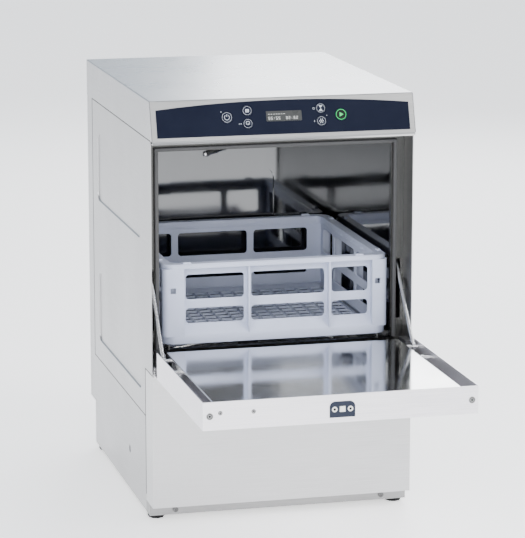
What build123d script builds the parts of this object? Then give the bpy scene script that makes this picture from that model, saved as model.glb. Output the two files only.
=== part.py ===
from build123d import *

import os
from math import cos, hypot, radians, sin

os.makedirs("parts", exist_ok=True)

# Undercounter dishwasher for one square rack: a sheet-steel body with a drop-down door.
# Millimetres, +X to the right, +Y to the back, +Z up. The origin is on the floor, under the
# middle of the machine as it stands with its door open.

# ---------------------------------------------------------------- overall sizes
width = 460.0
height = 733.0
body_depth = 530.0          # from the front plane to the back panel
rear_box_depth = 51.0       # the rear cover's box behind the body
foot_height = 8.0
sheet = 1.2                 # outer casing and chamber
gap = 0.3                   # between casing sheets that lie side by side

# ---------------------------------------------------------------- front, by height
kick_top = 29.0             # lower edge of the lower front panel
kick_setback = 28.0         # the base rail stands back from the front plane
flange_depth = 56.8         # side flanges of the lower front panel
lower_panel_top = 261.0
base_side_top = 179.7       # joint between lower and upper side panels
skirt_bottom = height - 66.0     # lower edge of the top cover's skirt
fascia_bottom = height - 71.5
frame_setback = 50.0        # the front frame stands this far behind the front plane
frame_sheet = 1.5
opening_half = width / 2 - 24.0
opening_bottom = 296.0
opening_top = height - 93.0

# ---------------------------------------------------------------- door
door_thickness = 46.0
door_half = width / 2 - 2.7
door_bottom = 266.0         # with the door shut
door_top = height - 78.0
hinge_back = 8.0            # hinge axis behind the front plane
hinge_height = 272.5
hinge_pin_radius = 4.0
running_clearance = 0.05
inner_half = door_half - 20.8
inner_bottom = 283.0
inner_top = door_top - 16.0
inner_depth = 39.7          # outer skin to the inner panel's face
notch_top = 309.0           # the shell's side walls start here
catch_proud = 2.0           # the catch stands out of the door's edge

# ---------------------------------------------------------------- door stays
stay_x = door_half - 7.8
stay_pin_up = 325.5         # pin centre above the floor with the door shut
stay_pin_in = 35.5          # pin centre behind the door's skin
rest_pin_up = 408.5
stay_pin_radius = 3.0
stay_rod_radius = 3.0
stay_rod_length = 170.0
stay_anchor_depth = 174.4
stay_anchor_height = 566.2

# ---------------------------------------------------------------- washing chamber and tank
chamber_half = opening_half + 2.0
chamber_back = body_depth - 78.0
chamber_bottom = 250.0
chamber_roof = height - 78.0
tank_bottom = 190.0
tank_wall = 1.5
sump_x = 90.0
sump_depth = 170.0
sump_radius = 56.0
sump_bottom = 145.0
drain_x = 58.0 - chamber_half
drain_depth = 110.0
drain_radius = 14.0
filter_height = 236.0

# ---------------------------------------------------------------- rack
rack_size = 400.0
rack_height = 140.0
rack_floor = 304.5          # underside of the rack
rack_front = 47.0           # rack's front face behind the front plane, door shut
rack_wall = 3.0
rack_recess = 13.0          # the windowed walls stand back from the corner panels
rail_drop = 0.2             # play between rail and rack

# ---------------------------------------------------------------- spray arms
spindle_radius = 8.0
arm_wall_gap = 16.2         # from a spinning arm to the chamber's front or back
lower_arm_bottom = 260.3
upper_arm_top = chamber_roof - 8.0

# ---------------------------------------------------------------- control panel
fascia_top_setback = 8.0
fascia_foot = -13.0         # the fascia leans forward to here at its foot
fascia_nose = -15.0
overlay_half = width / 2 - 10.0
overlay_thickness = 1.2
button_play = 0.35
display_width = 62.0
display_height = 17.6

half = width / 2
inside_half = half - sheet
total_depth = body_depth + rear_box_depth
door_turn_sum = hinge_back + hinge_height
door_reach = door_top - door_turn_sum
front = (door_reach + catch_proud - total_depth) / 2
chamber_front = frame_setback + frame_sheet
arm_centre = (chamber_front + chamber_back) / 2
arm_length = min(chamber_half - 24, chamber_back - arm_centre - arm_wall_gap)


def deep(depth):
    """The y coordinate of a distance behind the body's front plane."""
    return front + depth


def block(x0, x1, d0, d1, z0, z1, mode=Mode.ADD):
    """A box between two widths, two depths and two heights."""
    with Locations(((x0 + x1) / 2, deep((d0 + d1) / 2), (z0 + z1) / 2)):
        Box(abs(x1 - x0), abs(d1 - d0), abs(z1 - z0), mode=mode)


def disc(x, depth, z, radius, length, along="Z", mode=Mode.ADD):
    """A cylinder centred on a point, along X, Y or Z."""
    turns = {"X": (0, 90, 0), "Y": (90, 0, 0), "Z": (0, 0, 0)}
    with Locations((x, deep(depth), z)):
        Cylinder(radius, length, rotation=turns[along], mode=mode)


def door_block(x0, x1, up0, up1, in0, in1, mode=Mode.ADD):
    """A box on the lowered door, given by its heights and depths on the shut door."""
    base = hinge_height - hinge_back
    block(x0, x1, door_turn_sum - up1, door_turn_sum - up0, base + in0, base + in1, mode)


def door_disc(x, up, inward, radius, length, along="X", mode=Mode.ADD):
    """A cylinder on the lowered door, given by its place on the shut door."""
    disc(x, door_turn_sum - up, hinge_height - hinge_back + inward, radius, length, along, mode)


def pipe(points, radius, bend, mode=Mode.ADD):
    """A round pipe along straight runs joined by arcs, through (x, depth, z) points."""
    with BuildLine() as route:
        FilletPolyline(*[(x, deep(depth), z) for x, depth, z in points], radius=bend)
    with BuildSketch(Plane(origin=route.line @ 0, z_dir=route.line % 0)) as section:
        Circle(radius)
    sweep(section.sketch, path=route.wire(), mode=mode)


def side_profile(points, x_from, x_to, mode=Mode.ADD):
    """A prism between two widths from an outline of (depth, z) points."""
    with BuildSketch(Plane(origin=(x_from, 0, 0), x_dir=(0, 1, 0), z_dir=(1, 0, 0))) as outline:
        with BuildLine():
            Polyline(*[(deep(depth), z) for depth, z in points], close=True)
        make_face()
    extrude(outline.sketch, amount=x_to - x_from, mode=mode)


def upright_edges(builder, x, depth):
    """The vertical edges of a piece that stand at one width and depth."""
    return (builder.edges().filter_by(Axis.Z)
            .filter_by_position(Axis.X, x - 0.01, x + 0.01)
            .filter_by_position(Axis.Y, deep(depth) - 0.01, deep(depth) + 0.01))


def save(name, builder):
    """Label a finished piece and write it to its own file."""
    builder.part.label = name
    export_step(builder.part, f"parts/{name}.step")


# ================================================================ base and casing
rail_screw_x = half - 45
rail_screw_z = 17.0
screw_hole = 2.3
foot_x = half - 16
foot_depths = (50.0, body_depth - 30)
foot_radius = 15.8
foot_taper = 30
foot_stud_radius = 5.0
foot_boss_radius = 10.0
base_flange_height = 40.0
base_top = foot_height + sheet
inner_face = inside_half - gap / 2
foot_places = [(side * foot_x, depth) for side in (-1, 1) for depth in foot_depths]

with BuildPart() as base_frame:
    block(-inner_face, inner_face, kick_setback, body_depth - sheet, foot_height, base_top)
    block(-half, half, kick_setback, kick_setback + sheet, foot_height, kick_top - gap)
    block(-inner_face, inner_face, kick_setback, kick_setback + sheet, foot_height, 2 * kick_top)
    block(-half, half, kick_setback, flange_depth, foot_height, base_top)
    for side in (-1, 1):
        block(side * half, side * inside_half, kick_setback, flange_depth,
              foot_height, kick_top - gap)
        block(side * inner_face, side * (inner_face - sheet), kick_setback,
              body_depth - sheet - gap, foot_height, base_flange_height)
        disc(side * rail_screw_x, kick_setback + sheet / 2, rail_screw_z, screw_hole, 3 * sheet, "Y",
             mode=Mode.SUBTRACT)
    for x, depth in foot_places:
        disc(x, depth, base_top + 5, foot_boss_radius, 10)
    for x, depth in foot_places:
        disc(x, depth, base_top, foot_stud_radius + gap, 40, mode=Mode.SUBTRACT)
save("base_frame", base_frame)

with BuildPart() as levelling_feet:
    for x, depth in foot_places:
        with BuildSketch(Plane.XY.offset(foot_height)):
            with Locations((x, deep(depth))):
                RegularPolygon(foot_radius, 8)
        extrude(amount=-foot_height / 2)
        with BuildSketch(Plane.XY.offset(foot_height / 2)):
            with Locations((x, deep(depth))):
                RegularPolygon(foot_radius, 8)
        extrude(amount=-foot_height / 2, taper=foot_taper)
        disc(x, depth, foot_height + 14, foot_stud_radius, 28)
save("levelling_feet", levelling_feet)

plug_depth = 199.0
plug_height = 83.0
plug_radius = 7.4
for side, name in ((-1, "lower_side_panel_left"), (1, "lower_side_panel_right")):
    with BuildPart() as lower_side_panel:
        block(side * half, side * inside_half, flange_depth + gap, body_depth,
              foot_height, base_side_top)
        block(side * inside_half, side * (inside_half - 12), flange_depth + gap,
              flange_depth + gap + sheet, base_flange_height + gap, base_side_top - 4)
        disc(side * half, plug_depth, plug_height, plug_radius + 0.1, 4 * sheet, "X",
             mode=Mode.SUBTRACT)
    save(name, lower_side_panel)

with BuildPart() as access_plugs:
    for side in (-1, 1):
        disc(side * (half - 2), plug_depth, plug_height, plug_radius, 4, "X")
        disc(side * (inside_half - 1.4), plug_depth, plug_height, plug_radius + 2, 2.8, "X")
        disc(side * half, plug_depth, plug_height, plug_radius - 2, 1.4, "X",
             mode=Mode.SUBTRACT)
save("access_plugs", access_plugs)

press_depth = 2.5           # pressed fields in the side panels
press_front = 88.0
press_back = body_depth - 48
press_radius = 16.0
press_fields = ((218.0, 348.0), (484.0, 609.0))
shoulder = lower_panel_top + 3   # the side panel widens to the front above this height
for side, name in ((-1, "side_panel_left"), (1, "side_panel_right")):
    with BuildPart() as side_panel:
        side_profile(
            [(flange_depth + gap, base_side_top + gap), (body_depth - gap, base_side_top + gap),
             (body_depth - gap, skirt_bottom - gap), (0, skirt_bottom - gap),
             (0, shoulder), (flange_depth + gap, shoulder)],
            min(side * half, side * inside_half), max(side * half, side * inside_half))
        for low, high in press_fields:
            centre = (side * inside_half, deep((press_front + press_back) / 2), (low + high) / 2)
            for start, mode in ((inside_half, Mode.ADD), (half, Mode.SUBTRACT)):
                face = Plane(origin=(side * start, centre[1], centre[2]), x_dir=(0, 1, 0),
                             z_dir=(-side, 0, 0))
                with BuildSketch(face):
                    RectangleRounded(press_back - press_front, high - low, press_radius)
                extrude(amount=press_depth, taper=35, mode=mode)
    save(name, side_panel)

with BuildPart() as lower_front_panel:
    block(-half, half, 0, sheet, kick_top, lower_panel_top)
    for side in (-1, 1):
        block(side * half, side * inside_half, 0, flange_depth, kick_top, shoulder - gap)
        fillet(upright_edges(lower_front_panel, side * half, 0), 0.9)
    block(-inside_half, inside_half, 0, 24, kick_top, kick_top + sheet)
    block(15 - half, half - 15, sheet, 24, lower_panel_top - sheet, lower_panel_top)
save("lower_front_panel", lower_front_panel)

# ---------------------------------------------------------------- back of the body
rear_box_bottom = 88.0
inlet_x = 35 - half
inlet_height = 58.0
inlet_radius = 13.22        # G 3/4 male thread
drain_height = 60.0
gland_x = 150.0
gland_height = 55.0
gland_radius = 10.0
hose_stand_off = 2.0        # hose fittings start this far behind the back panel
inlet_thread = 18.0
drain_spigot = 20.0

with BuildPart() as back_panel:
    block(-inner_face, inner_face, body_depth - sheet, body_depth, base_top + gap, rear_box_bottom)
    for x, z, radius in ((inlet_x, inlet_height, inlet_radius), (drain_x, drain_height, drain_radius),
                         (gland_x, gland_height, gland_radius)):
        disc(x, body_depth, z, radius + gap, 10, "Y", mode=Mode.SUBTRACT)
save("back_panel", back_panel)

rear_half = half - 0.5
rear_screw_rows = (120.0, 340.0, 560.0)
rear_screw_x = half - 15
vent_columns = 9
with BuildPart() as rear_cover:
    block(-rear_half, rear_half, body_depth + gap, total_depth, rear_box_bottom + gap,
          skirt_bottom - gap)
    for side in (-1, 1):
        fillet(upright_edges(rear_cover, side * rear_half, total_depth), 2.0)
    block(-rear_half + sheet, rear_half - sheet, body_depth, total_depth - sheet,
          rear_box_bottom + gap + sheet, skirt_bottom, mode=Mode.SUBTRACT)
    with BuildSketch(Plane.XZ.offset(-deep(total_depth))):
        with Locations((0, 610)):
            with GridLocations(26, 14, vent_columns, 4):
                SlotOverall(20, 4)
    extrude(amount=2 * sheet, mode=Mode.SUBTRACT)
    with BuildSketch(Plane.XZ.offset(-deep(total_depth))):
        for side in (-1, 1):
            for z in rear_screw_rows:
                with Locations((side * rear_screw_x, z)):
                    Circle(screw_hole)
    extrude(amount=2 * sheet, mode=Mode.SUBTRACT)
save("rear_cover", rear_cover)

with BuildPart() as casing_screws:
    for side in (-1, 1):
        disc(side * rail_screw_x, kick_setback - 1.3, rail_screw_z, 4.8, 2.6, "Y")
        disc(side * rail_screw_x, kick_setback + 6, rail_screw_z, 2.0, 12, "Y")
        disc(side * rail_screw_x, kick_setback - 2.4, rail_screw_z, 2.0, 2.4, "Y",
             mode=Mode.SUBTRACT)
        for z in rear_screw_rows:
            disc(side * rear_screw_x, total_depth - 6, z, screw_hole - 0.3, 12, "Y")
            disc(side * rear_screw_x, total_depth - sheet - 1.6, z, 5.0, 3.0, "Y")
save("casing_screws", casing_screws)

top_outline = [(fascia_top_setback, height), (total_depth, height), (total_depth, skirt_bottom),
               (fascia_foot, skirt_bottom)]
with BuildPart() as top_cover:
    side_profile(top_outline, -half, half)
    fillet(upright_edges(top_cover, half, total_depth)
           + upright_edges(top_cover, -half, total_depth), 2.0)
    fillet(top_cover.edges().group_by(Axis.Z)[-1]
           .filter_by_position(Axis.Y, deep(fascia_top_setback) + 1, deep(total_depth) + 1), 2.0)
    side_profile([(fascia_foot - 5, height - sheet), (total_depth - sheet, height - sheet),
                  (total_depth - sheet, skirt_bottom - 1), (fascia_foot - 5, skirt_bottom - 1)],
                 -inside_half, inside_half, mode=Mode.SUBTRACT)
save("top_cover", top_cover)

# ================================================================ control panel
fascia_half = inside_half - gap
lean_run = fascia_top_setback - fascia_foot
lean_rise = height - skirt_bottom
lean = hypot(lean_run, lean_rise)
lean_sin = lean_run / lean
lean_cos = lean_rise / lean
panel_middle_z = height - 33
panel_middle_depth = fascia_foot + lean_run * (panel_middle_z - skirt_bottom) / lean_rise
skin = 1.5                  # fascia sheet


def panel_plane(outward):
    """The leaning face of the fascia, moved outward along its normal; local Y runs upward."""
    return Plane(origin=(0, deep(panel_middle_depth) - lean_cos * outward,
                         panel_middle_z + lean_sin * outward),
                 x_dir=(1, 0, 0), z_dir=(0, -lean_cos, lean_sin))


button_layout = {           # name: width position, height on the leaning face, radius
    "power_button": (-99.0, 2.4, 9.5),
    "program_button": (-63.5, 12.6, 8.5),
    "temperature_button": (-63.5, -9.4, 8.5),
    "cold_rinse_button": (64.5, 12.6, 8.5),
    "drain_button": (64.5, -9.4, 8.5),
    "start_button": (99.5, 0.6, 10.0),
}
display_v = 1.8
button_stem_radius = 3.5
button_stem_end = -13.0
button_skirt = -3.0
button_top = 2.0
board_face = -15.0
fascia_top = height - sheet - gap
fascia_back_top = fascia_top_setback + 1.6

with BuildPart() as control_fascia:
    top_run = lean_run * (height - fascia_top) / lean_rise
    side_profile(
        [(fascia_top_setback - top_run, fascia_top), (fascia_foot, skirt_bottom),
         (fascia_nose, fascia_bottom + 3), (fascia_nose + 1.5, fascia_bottom),
         (frame_setback - gap, fascia_bottom), (frame_setback - gap, fascia_bottom + skin),
         (fascia_nose + 3.4, fascia_bottom + skin), (fascia_foot + 1.6, skirt_bottom + 0.4),
         (fascia_back_top - top_run, fascia_top)],
        -fascia_half, fascia_half)
    with BuildSketch(panel_plane(5)):
        with Locations((0, display_v)):
            Rectangle(display_width - 6, display_height - 4)
        for x, v, radius in button_layout.values():
            with Locations((x, v)):
                Circle(radius + button_play)
    extrude(amount=-12, mode=Mode.SUBTRACT)
save("control_fascia", control_fascia)

overlay_foot = -28.9
overlay_shoulder = 18.4
overlay_crown = 29.4
with BuildPart() as control_overlay:
    with BuildSketch(panel_plane(0)):
        with BuildLine():
            Polyline((-overlay_half, overlay_shoulder), (-overlay_half, overlay_foot),
                     (overlay_half, overlay_foot), (overlay_half, overlay_shoulder))
            ThreePointArc((overlay_half, overlay_shoulder), (0, overlay_crown),
                          (-overlay_half, overlay_shoulder))
        make_face()
        with Locations((0, display_v)):
            RectangleRounded(display_width, display_height, 1.5, mode=Mode.SUBTRACT)
        for x, v, radius in button_layout.values():
            with Locations((x, v)):
                Circle(radius + button_play, mode=Mode.SUBTRACT)
    extrude(amount=overlay_thickness)
save("control_overlay", control_overlay)

with BuildPart() as display_window:
    with BuildSketch(panel_plane(0)):
        with Locations((0, display_v)):
            RectangleRounded(display_width - 0.2, display_height - 0.2, 1.4)
    extrude(amount=overlay_thickness - 0.2)
save("display_window", display_window)

for name, (x, v, radius) in button_layout.items():
    with BuildPart() as button:
        with BuildSketch(panel_plane(button_skirt)):
            with Locations((x, v)):
                Circle(radius)
        extrude(amount=button_top - button_skirt)
        fillet(button.edges().group_by(Axis.Y)[0], 0.5)
        with BuildSketch(panel_plane(button_stem_end)):
            with Locations((x, v)):
                Circle(button_stem_radius)
        extrude(amount=button_skirt - button_stem_end)
    save(name, button)

board_half = 125.0
with BuildPart() as control_board:
    with BuildSketch(panel_plane(board_face)):
        with Locations((0, -1)):
            Rectangle(2 * board_half, 42)
    extrude(amount=-1.6)
    with BuildSketch(panel_plane(board_face)):
        with Locations((0, display_v)):
            Rectangle(display_width - 2, display_height + 4)
    extrude(amount=8)
    with BuildSketch(panel_plane(board_face - 1.6)):
        with Locations((-90, 4), (-60, 4), (-30, 4), (40, 4), (90, 4)):
            Rectangle(18, 24)
    extrude(amount=-14)
save("control_board", control_board)

# ================================================================ front frame and door opening
gasket_inner = opening_half + 2.3
gasket_outer = opening_half + 8
gasket_front = 42.0
slot_low = 330.0
slot_high = 436.0
slot_half = 4.0
frame_flange = 10.0
switch_depth = 20.0

with BuildPart() as front_frame:
    block(-inner_face, inner_face, frame_setback, chamber_front, base_side_top + gap,
          fascia_bottom - gap)
    block(-opening_half - sheet, opening_half + sheet, frame_setback,
          chamber_front + frame_flange, opening_bottom - sheet, opening_top + sheet)
    for side in (-1, 1):
        block(side * inner_face, side * (inner_face - sheet), chamber_front,
              chamber_front + frame_flange, base_side_top + gap, fascia_bottom - gap)
        block(side * (stay_x - slot_half), side * (stay_x + slot_half), frame_setback - 1,
              chamber_front + 1, slot_low, slot_high, mode=Mode.SUBTRACT)
    block(-opening_half, opening_half, frame_setback - 1, chamber_front + frame_flange + 1,
          opening_bottom, opening_top, mode=Mode.SUBTRACT)
save("front_frame", front_frame)

with BuildPart() as door_gasket:
    block(-gasket_outer, gasket_outer, gasket_front, frame_setback, opening_bottom + 2,
          opening_top + 7.5)
    block(-gasket_inner, gasket_inner, gasket_front - 1, frame_setback + 1, opening_bottom,
          opening_top + 1.8, mode=Mode.SUBTRACT)
    fillet(door_gasket.edges().group_by(Axis.Y)[0], 1.5)
save("door_gasket", door_gasket)

plate_outer = door_half
plate_inner = door_half - 3.0
bracket_inner = inner_half + 4.7
bracket_outer = plate_inner - 0.4
pin_inner = bracket_inner + 1.8
with BuildPart() as hinge_plates:
    for side in (-1, 1):
        block(side * plate_inner, side * plate_outer, sheet + gap, 2 * hinge_back,
              base_side_top + 8, hinge_height)
        block(side * plate_inner, side * plate_outer, sheet + gap, frame_setback,
              base_side_top + 8, shoulder - 10)
        disc(side * (plate_inner + plate_outer) / 2, hinge_back, hinge_height, hinge_back - gap,
             plate_outer - plate_inner, "X")
        disc(side * (pin_inner + plate_inner) / 2, hinge_back, hinge_height, hinge_pin_radius,
             plate_inner - pin_inner, "X")
save("hinge_plates", hinge_plates)

with BuildPart() as door_switch:
    block(-16, 16, switch_depth - 8, switch_depth + 8, fascia_bottom + skin, fascia_bottom + skin + 9)
    block(-22, 22, switch_depth - 3, switch_depth + 3, fascia_bottom + skin,
          fascia_bottom + skin + 2.5)
    block(-10, -6, switch_depth + 8, switch_depth + 12, fascia_bottom + skin + 2,
          fascia_bottom + skin + 6)
save("door_switch", door_switch)

# ================================================================ door, lowered
skin_in = sheet
latch_half = 21.0
latch_low = 8.5
latch_high = 34.5
latch_in = 22.0             # catch and screws, from the door's skin
catch_half = 4.6
edge_screws = (             # width position, depth from the skin, head radius
    (11.3 - door_half, 23.0, 5.6),
    (door_half - 11.3, 23.0, 5.6),
    (28.3 - door_half, 27.5, 3.4),
    (82.3 - door_half, 27.0, 3.4),
)
latch_screws = (-13.0, 13.0)
wall_in = door_half - sheet

with BuildPart() as door_outer_shell:
    door_block(-door_half, door_half, door_bottom, door_top, 0, skin_in)
    door_block(-door_half, door_half, door_top - sheet, door_top, 0, door_thickness)
    door_block(-bracket_inner, bracket_inner, door_bottom, door_bottom + sheet, 0, 12)
    for side in (-1, 1):
        door_block(side * door_half, side * wall_in, notch_top, door_top, 0, door_thickness)
    fillet(door_outer_shell.edges().filter_by(Axis.Z)
           .filter_by_position(Axis.Y, deep(-door_reach) - 0.01, deep(-door_reach) + 0.01), 1.1)
    for side in (-1, 1):
        door_block(side * bracket_outer, side * (door_half + 1), door_bottom - 1, inner_bottom,
                   -1, skin_in + 1, mode=Mode.SUBTRACT)
    for x, inward, radius in edge_screws:
        door_disc(x, door_top, inward, screw_hole, 6, "Y", mode=Mode.SUBTRACT)
    for x in latch_screws:
        door_disc(x, door_top, latch_in, screw_hole, 6, "Y", mode=Mode.SUBTRACT)
    door_block(-catch_half - gap, catch_half + gap, door_top - 5, door_top + 5,
               latch_in - catch_half - gap, latch_in + catch_half + gap, mode=Mode.SUBTRACT)
save("door_outer_shell", door_outer_shell)

with BuildPart() as door_inner_panel:
    door_block(-inner_half, inner_half, inner_bottom, inner_top, skin_in, inner_depth)
    fillet(door_inner_panel.edges().filter_by(Axis.Z), 5)
    fillet(door_inner_panel.edges().group_by(Axis.Z)[-1], 2)
    door_block(-inner_half + sheet, inner_half - sheet, inner_bottom + sheet, inner_top - sheet,
               skin_in, inner_depth - sheet, mode=Mode.SUBTRACT)
save("door_inner_panel", door_inner_panel)

with BuildPart() as door_hinge_brackets:
    for side in (-1, 1):
        door_block(side * bracket_inner, side * bracket_outer, door_bottom + 1, notch_top - 2,
                   skin_in, gasket_front - 1)
        door_disc(side * (bracket_inner + bracket_outer) / 2, hinge_height, hinge_back,
                  hinge_pin_radius + running_clearance, 40, "X", mode=Mode.SUBTRACT)
save("door_hinge_brackets", door_hinge_brackets)

latch_thickness = 1.0
catch_housing = 12.0
door_front_face = Plane(origin=(0, deep(-door_reach), hinge_height - hinge_back),
                        x_dir=(1, 0, 0), z_dir=(0, -1, 0))
with BuildPart() as door_latch_plate:
    with BuildSketch(door_front_face):
        with Locations((0, (latch_low + latch_high) / 2)):
            plate_shape = Rectangle(2 * latch_half, latch_high - latch_low)
        fillet(plate_shape.vertices().group_by(Axis.Y)[-1], 9)
        fillet(plate_shape.vertices().group_by(Axis.Y)[0], 2)
        with Locations((0, latch_in)):
            Rectangle(2 * catch_half + 2 * gap, 2 * catch_half + 2 * gap, mode=Mode.SUBTRACT)
        with Locations(*[(x, latch_in) for x in latch_screws]):
            Circle(screw_hole, mode=Mode.SUBTRACT)
    extrude(amount=latch_thickness)
save("door_latch_plate", door_latch_plate)

with BuildPart() as door_catch:
    door_block(-catch_half, catch_half, door_top - catch_housing, door_top + catch_proud,
               latch_in - catch_half, latch_in + catch_half)
    fillet(door_catch.edges().group_by(Axis.Y)[0], 0.8)
save("door_catch", door_catch)

head_thickness = 1.2
with BuildPart() as door_screws:
    for x, inward, radius in edge_screws:
        door_disc(x, door_top + head_thickness / 2, inward, radius, head_thickness, "Y")
        door_disc(x, door_top - 4, inward, 2.0, 8, "Y")
        door_disc(x, door_top + head_thickness, inward, radius * 0.35, head_thickness, "Y",
                  mode=Mode.SUBTRACT)
    for x in latch_screws:
        door_disc(x, door_top + latch_thickness + 0.45, latch_in, 4.0, 0.9, "Y")
        door_disc(x, door_top - 3, latch_in, 2.0, 8, "Y")
        door_disc(x, door_top + latch_thickness + 0.9, latch_in, 1.5, 0.9, "Y",
                  mode=Mode.SUBTRACT)
save("door_screws", door_screws)

with BuildPart() as stay_pins:
    for side in (-1, 1):
        for up in (stay_pin_up, rest_pin_up):
            door_disc(side * (inner_half + wall_in) / 2, up, stay_pin_in, stay_pin_radius,
                      wall_in - inner_half, "X")
        door_disc(side * (inner_half + 3), rest_pin_up, stay_pin_in, stay_pin_radius + 1.5, 6, "X")
save("stay_pins", stay_pins)

# Door stays: each rod leans from its pin on the door to a spring behind the front frame.
pin_depth = door_turn_sum - stay_pin_up
pin_height = hinge_height - hinge_back + stay_pin_in
anchor_run = stay_anchor_depth - pin_depth
anchor_rise = stay_anchor_height - pin_height
anchor_reach = hypot(anchor_run, anchor_rise)
stay_dir = (0, anchor_run / anchor_reach, anchor_rise / anchor_reach)


def stay_plane(x, along):
    """A plane square to the stay, at a distance along it from its pin."""
    return Plane(origin=(x, deep(pin_depth) + along * stay_dir[1],
                         pin_height + along * stay_dir[2]), x_dir=(1, 0, 0), z_dir=stay_dir)


eye_radius = 6.5
eye_half = 2.5
with BuildPart() as stay_rods:
    for side in (-1, 1):
        with BuildSketch(stay_plane(side * stay_x, eye_radius - 1)):
            Circle(stay_rod_radius)
        extrude(amount=stay_rod_length - eye_radius + 1)
        disc(side * stay_x, pin_depth, pin_height, eye_radius, 2 * eye_half, "X")
        disc(side * stay_x, pin_depth, pin_height, stay_pin_radius + running_clearance, 20, "X",
             mode=Mode.SUBTRACT)
save("stay_rods", stay_rods)

spring_radius = 5.5
spring_wire = 1.5
anchor_radius = 3.0
with BuildPart() as stay_springs:
    for side in (-1, 1):
        with BuildSketch(stay_plane(side * stay_x, stay_rod_length)):
            Circle(spring_radius)
        extrude(amount=anchor_reach - stay_rod_length - anchor_radius - 0.1)
    for side in (-1, 1):
        with BuildSketch(stay_plane(side * stay_x, stay_rod_length + 3)):
            Circle(spring_radius - spring_wire)
        extrude(amount=anchor_reach - stay_rod_length - anchor_radius - 6, mode=Mode.SUBTRACT)
save("stay_springs", stay_springs)

# ================================================================ chamber, tank and fittings
hub_hole = 18.6
hub_neck = 18.0
emboss_half = 100.0
emboss_low = 415.0
emboss_high = 537.0
emboss_depth = 4.0
chamber_outer = chamber_half + sheet
chamber_rear = chamber_back + sheet
with BuildPart() as wash_chamber:
    block(-chamber_outer, chamber_outer, chamber_front, chamber_rear, chamber_bottom,
          chamber_roof + sheet)
    block(-chamber_half, chamber_half, chamber_front - 1, chamber_back, chamber_bottom - 1,
          chamber_roof, mode=Mode.SUBTRACT)
    block(-chamber_outer, chamber_outer, chamber_front, chamber_front + sheet, chamber_bottom,
          opening_bottom - sheet - gap)
    for wall, start, length, mode in (
            (0, chamber_back, emboss_depth + sheet, Mode.ADD),
            (sheet, chamber_back - 1, emboss_depth + 1, Mode.SUBTRACT)):
        face = Plane(origin=(0, deep(start), (emboss_low + emboss_high) / 2), x_dir=(-1, 0, 0),
                     z_dir=(0, 1, 0))
        with BuildSketch(face):
            RectangleRounded(2 * (emboss_half - wall), emboss_high - emboss_low - 2 * wall, 20)
        extrude(amount=length, mode=mode)
    disc(0, arm_centre, chamber_roof, hub_hole, 10, "Z", mode=Mode.SUBTRACT)
    for side in (-1, 1):
        disc(side * (chamber_outer + 8), stay_anchor_depth, stay_anchor_height, anchor_radius, 16,
             "X")
save("wash_chamber", wash_chamber)

heater_x = (-90.0, -42.0)
heater_z = 208.0
heater_radius = 4.0
suction_radius = 16.0
ledge_drop = sheet
with BuildPart() as wash_tank:
    block(-chamber_outer, chamber_outer, chamber_front + gap, chamber_rear, tank_bottom,
          chamber_bottom)
    block(-chamber_outer - 8, chamber_outer + 8, chamber_front + gap, chamber_rear + 8,
          chamber_bottom - tank_wall, chamber_bottom)
    block(-chamber_outer + tank_wall, chamber_outer - tank_wall, chamber_front + gap + tank_wall,
          chamber_rear - tank_wall, tank_bottom + tank_wall, chamber_bottom + 1,
          mode=Mode.SUBTRACT)
    for side in (-1, 1):
        block(side * (chamber_outer - tank_wall), side * (chamber_half - 6),
              chamber_front + 10, chamber_back - 4, filter_height - 3, filter_height - ledge_drop)
    disc(sump_x, sump_depth, (sump_bottom + tank_bottom) / 2 + 0.5, sump_radius + tank_wall,
         tank_bottom - sump_bottom + 1, "Z")
    disc(sump_x, sump_depth, (sump_bottom + tank_bottom) / 2 + 5, sump_radius,
         tank_bottom - sump_bottom + 10 - 2 * tank_wall, "Z", mode=Mode.SUBTRACT)
    disc(sump_x, sump_depth, sump_bottom, suction_radius, 10, "Z", mode=Mode.SUBTRACT)
    disc(0, arm_centre, tank_bottom, hub_hole, 10, "Z", mode=Mode.SUBTRACT)
    disc(drain_x, drain_depth, tank_bottom, drain_radius, 10, "Z", mode=Mode.SUBTRACT)
    for x in heater_x:
        disc(x, chamber_back, heater_z, heater_radius + 0.4, 20, "Y", mode=Mode.SUBTRACT)
save("wash_tank", wash_tank)

rail_top = rack_floor - rail_drop
rail_inner = 186.0
with BuildPart() as rack_rails:
    for side in (-1, 1):
        block(side * chamber_half, side * rail_inner, chamber_front + frame_flange + 1,
              chamber_back - 6, rail_top - 1.5, rail_top)
        block(side * chamber_half, side * (chamber_half - 1.5), chamber_front + frame_flange + 1,
              chamber_back - 6, rail_top - 14, rail_top)
        block(side * rail_inner, side * (rail_inner + 1.5), chamber_front + frame_flange + 1,
              chamber_back - 6, rail_top - 8, rail_top)
save("rack_rails", rack_rails)

overflow_radius = 13.0
overflow_top = 256.0
filter_half = chamber_half - 2.4
filter_front = chamber_front + gap + tank_wall + 1
filter_back = chamber_back - 3
with BuildPart() as tank_filter:
    block(-filter_half, filter_half, filter_front, filter_back, filter_height - ledge_drop,
          filter_height)
    with BuildSketch(Plane.XY.offset(filter_height - 5)):
        with Locations((0, deep(arm_centre))):
            with GridLocations(50, 12, 8, 31):
                SlotOverall(40, 3.2)
    extrude(amount=10, mode=Mode.SUBTRACT)
    disc(0, arm_centre, filter_height - ledge_drop / 2, hub_neck + 16, ledge_drop, "Z")
    disc(drain_x, drain_depth, filter_height - ledge_drop / 2, overflow_radius + 14, ledge_drop,
         "Z")
    disc(0, arm_centre, filter_height, hub_neck + 3, 20, "Z", mode=Mode.SUBTRACT)
    disc(drain_x, drain_depth, filter_height, overflow_radius + 3, 20, "Z", mode=Mode.SUBTRACT)
save("tank_filter", tank_filter)

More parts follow.
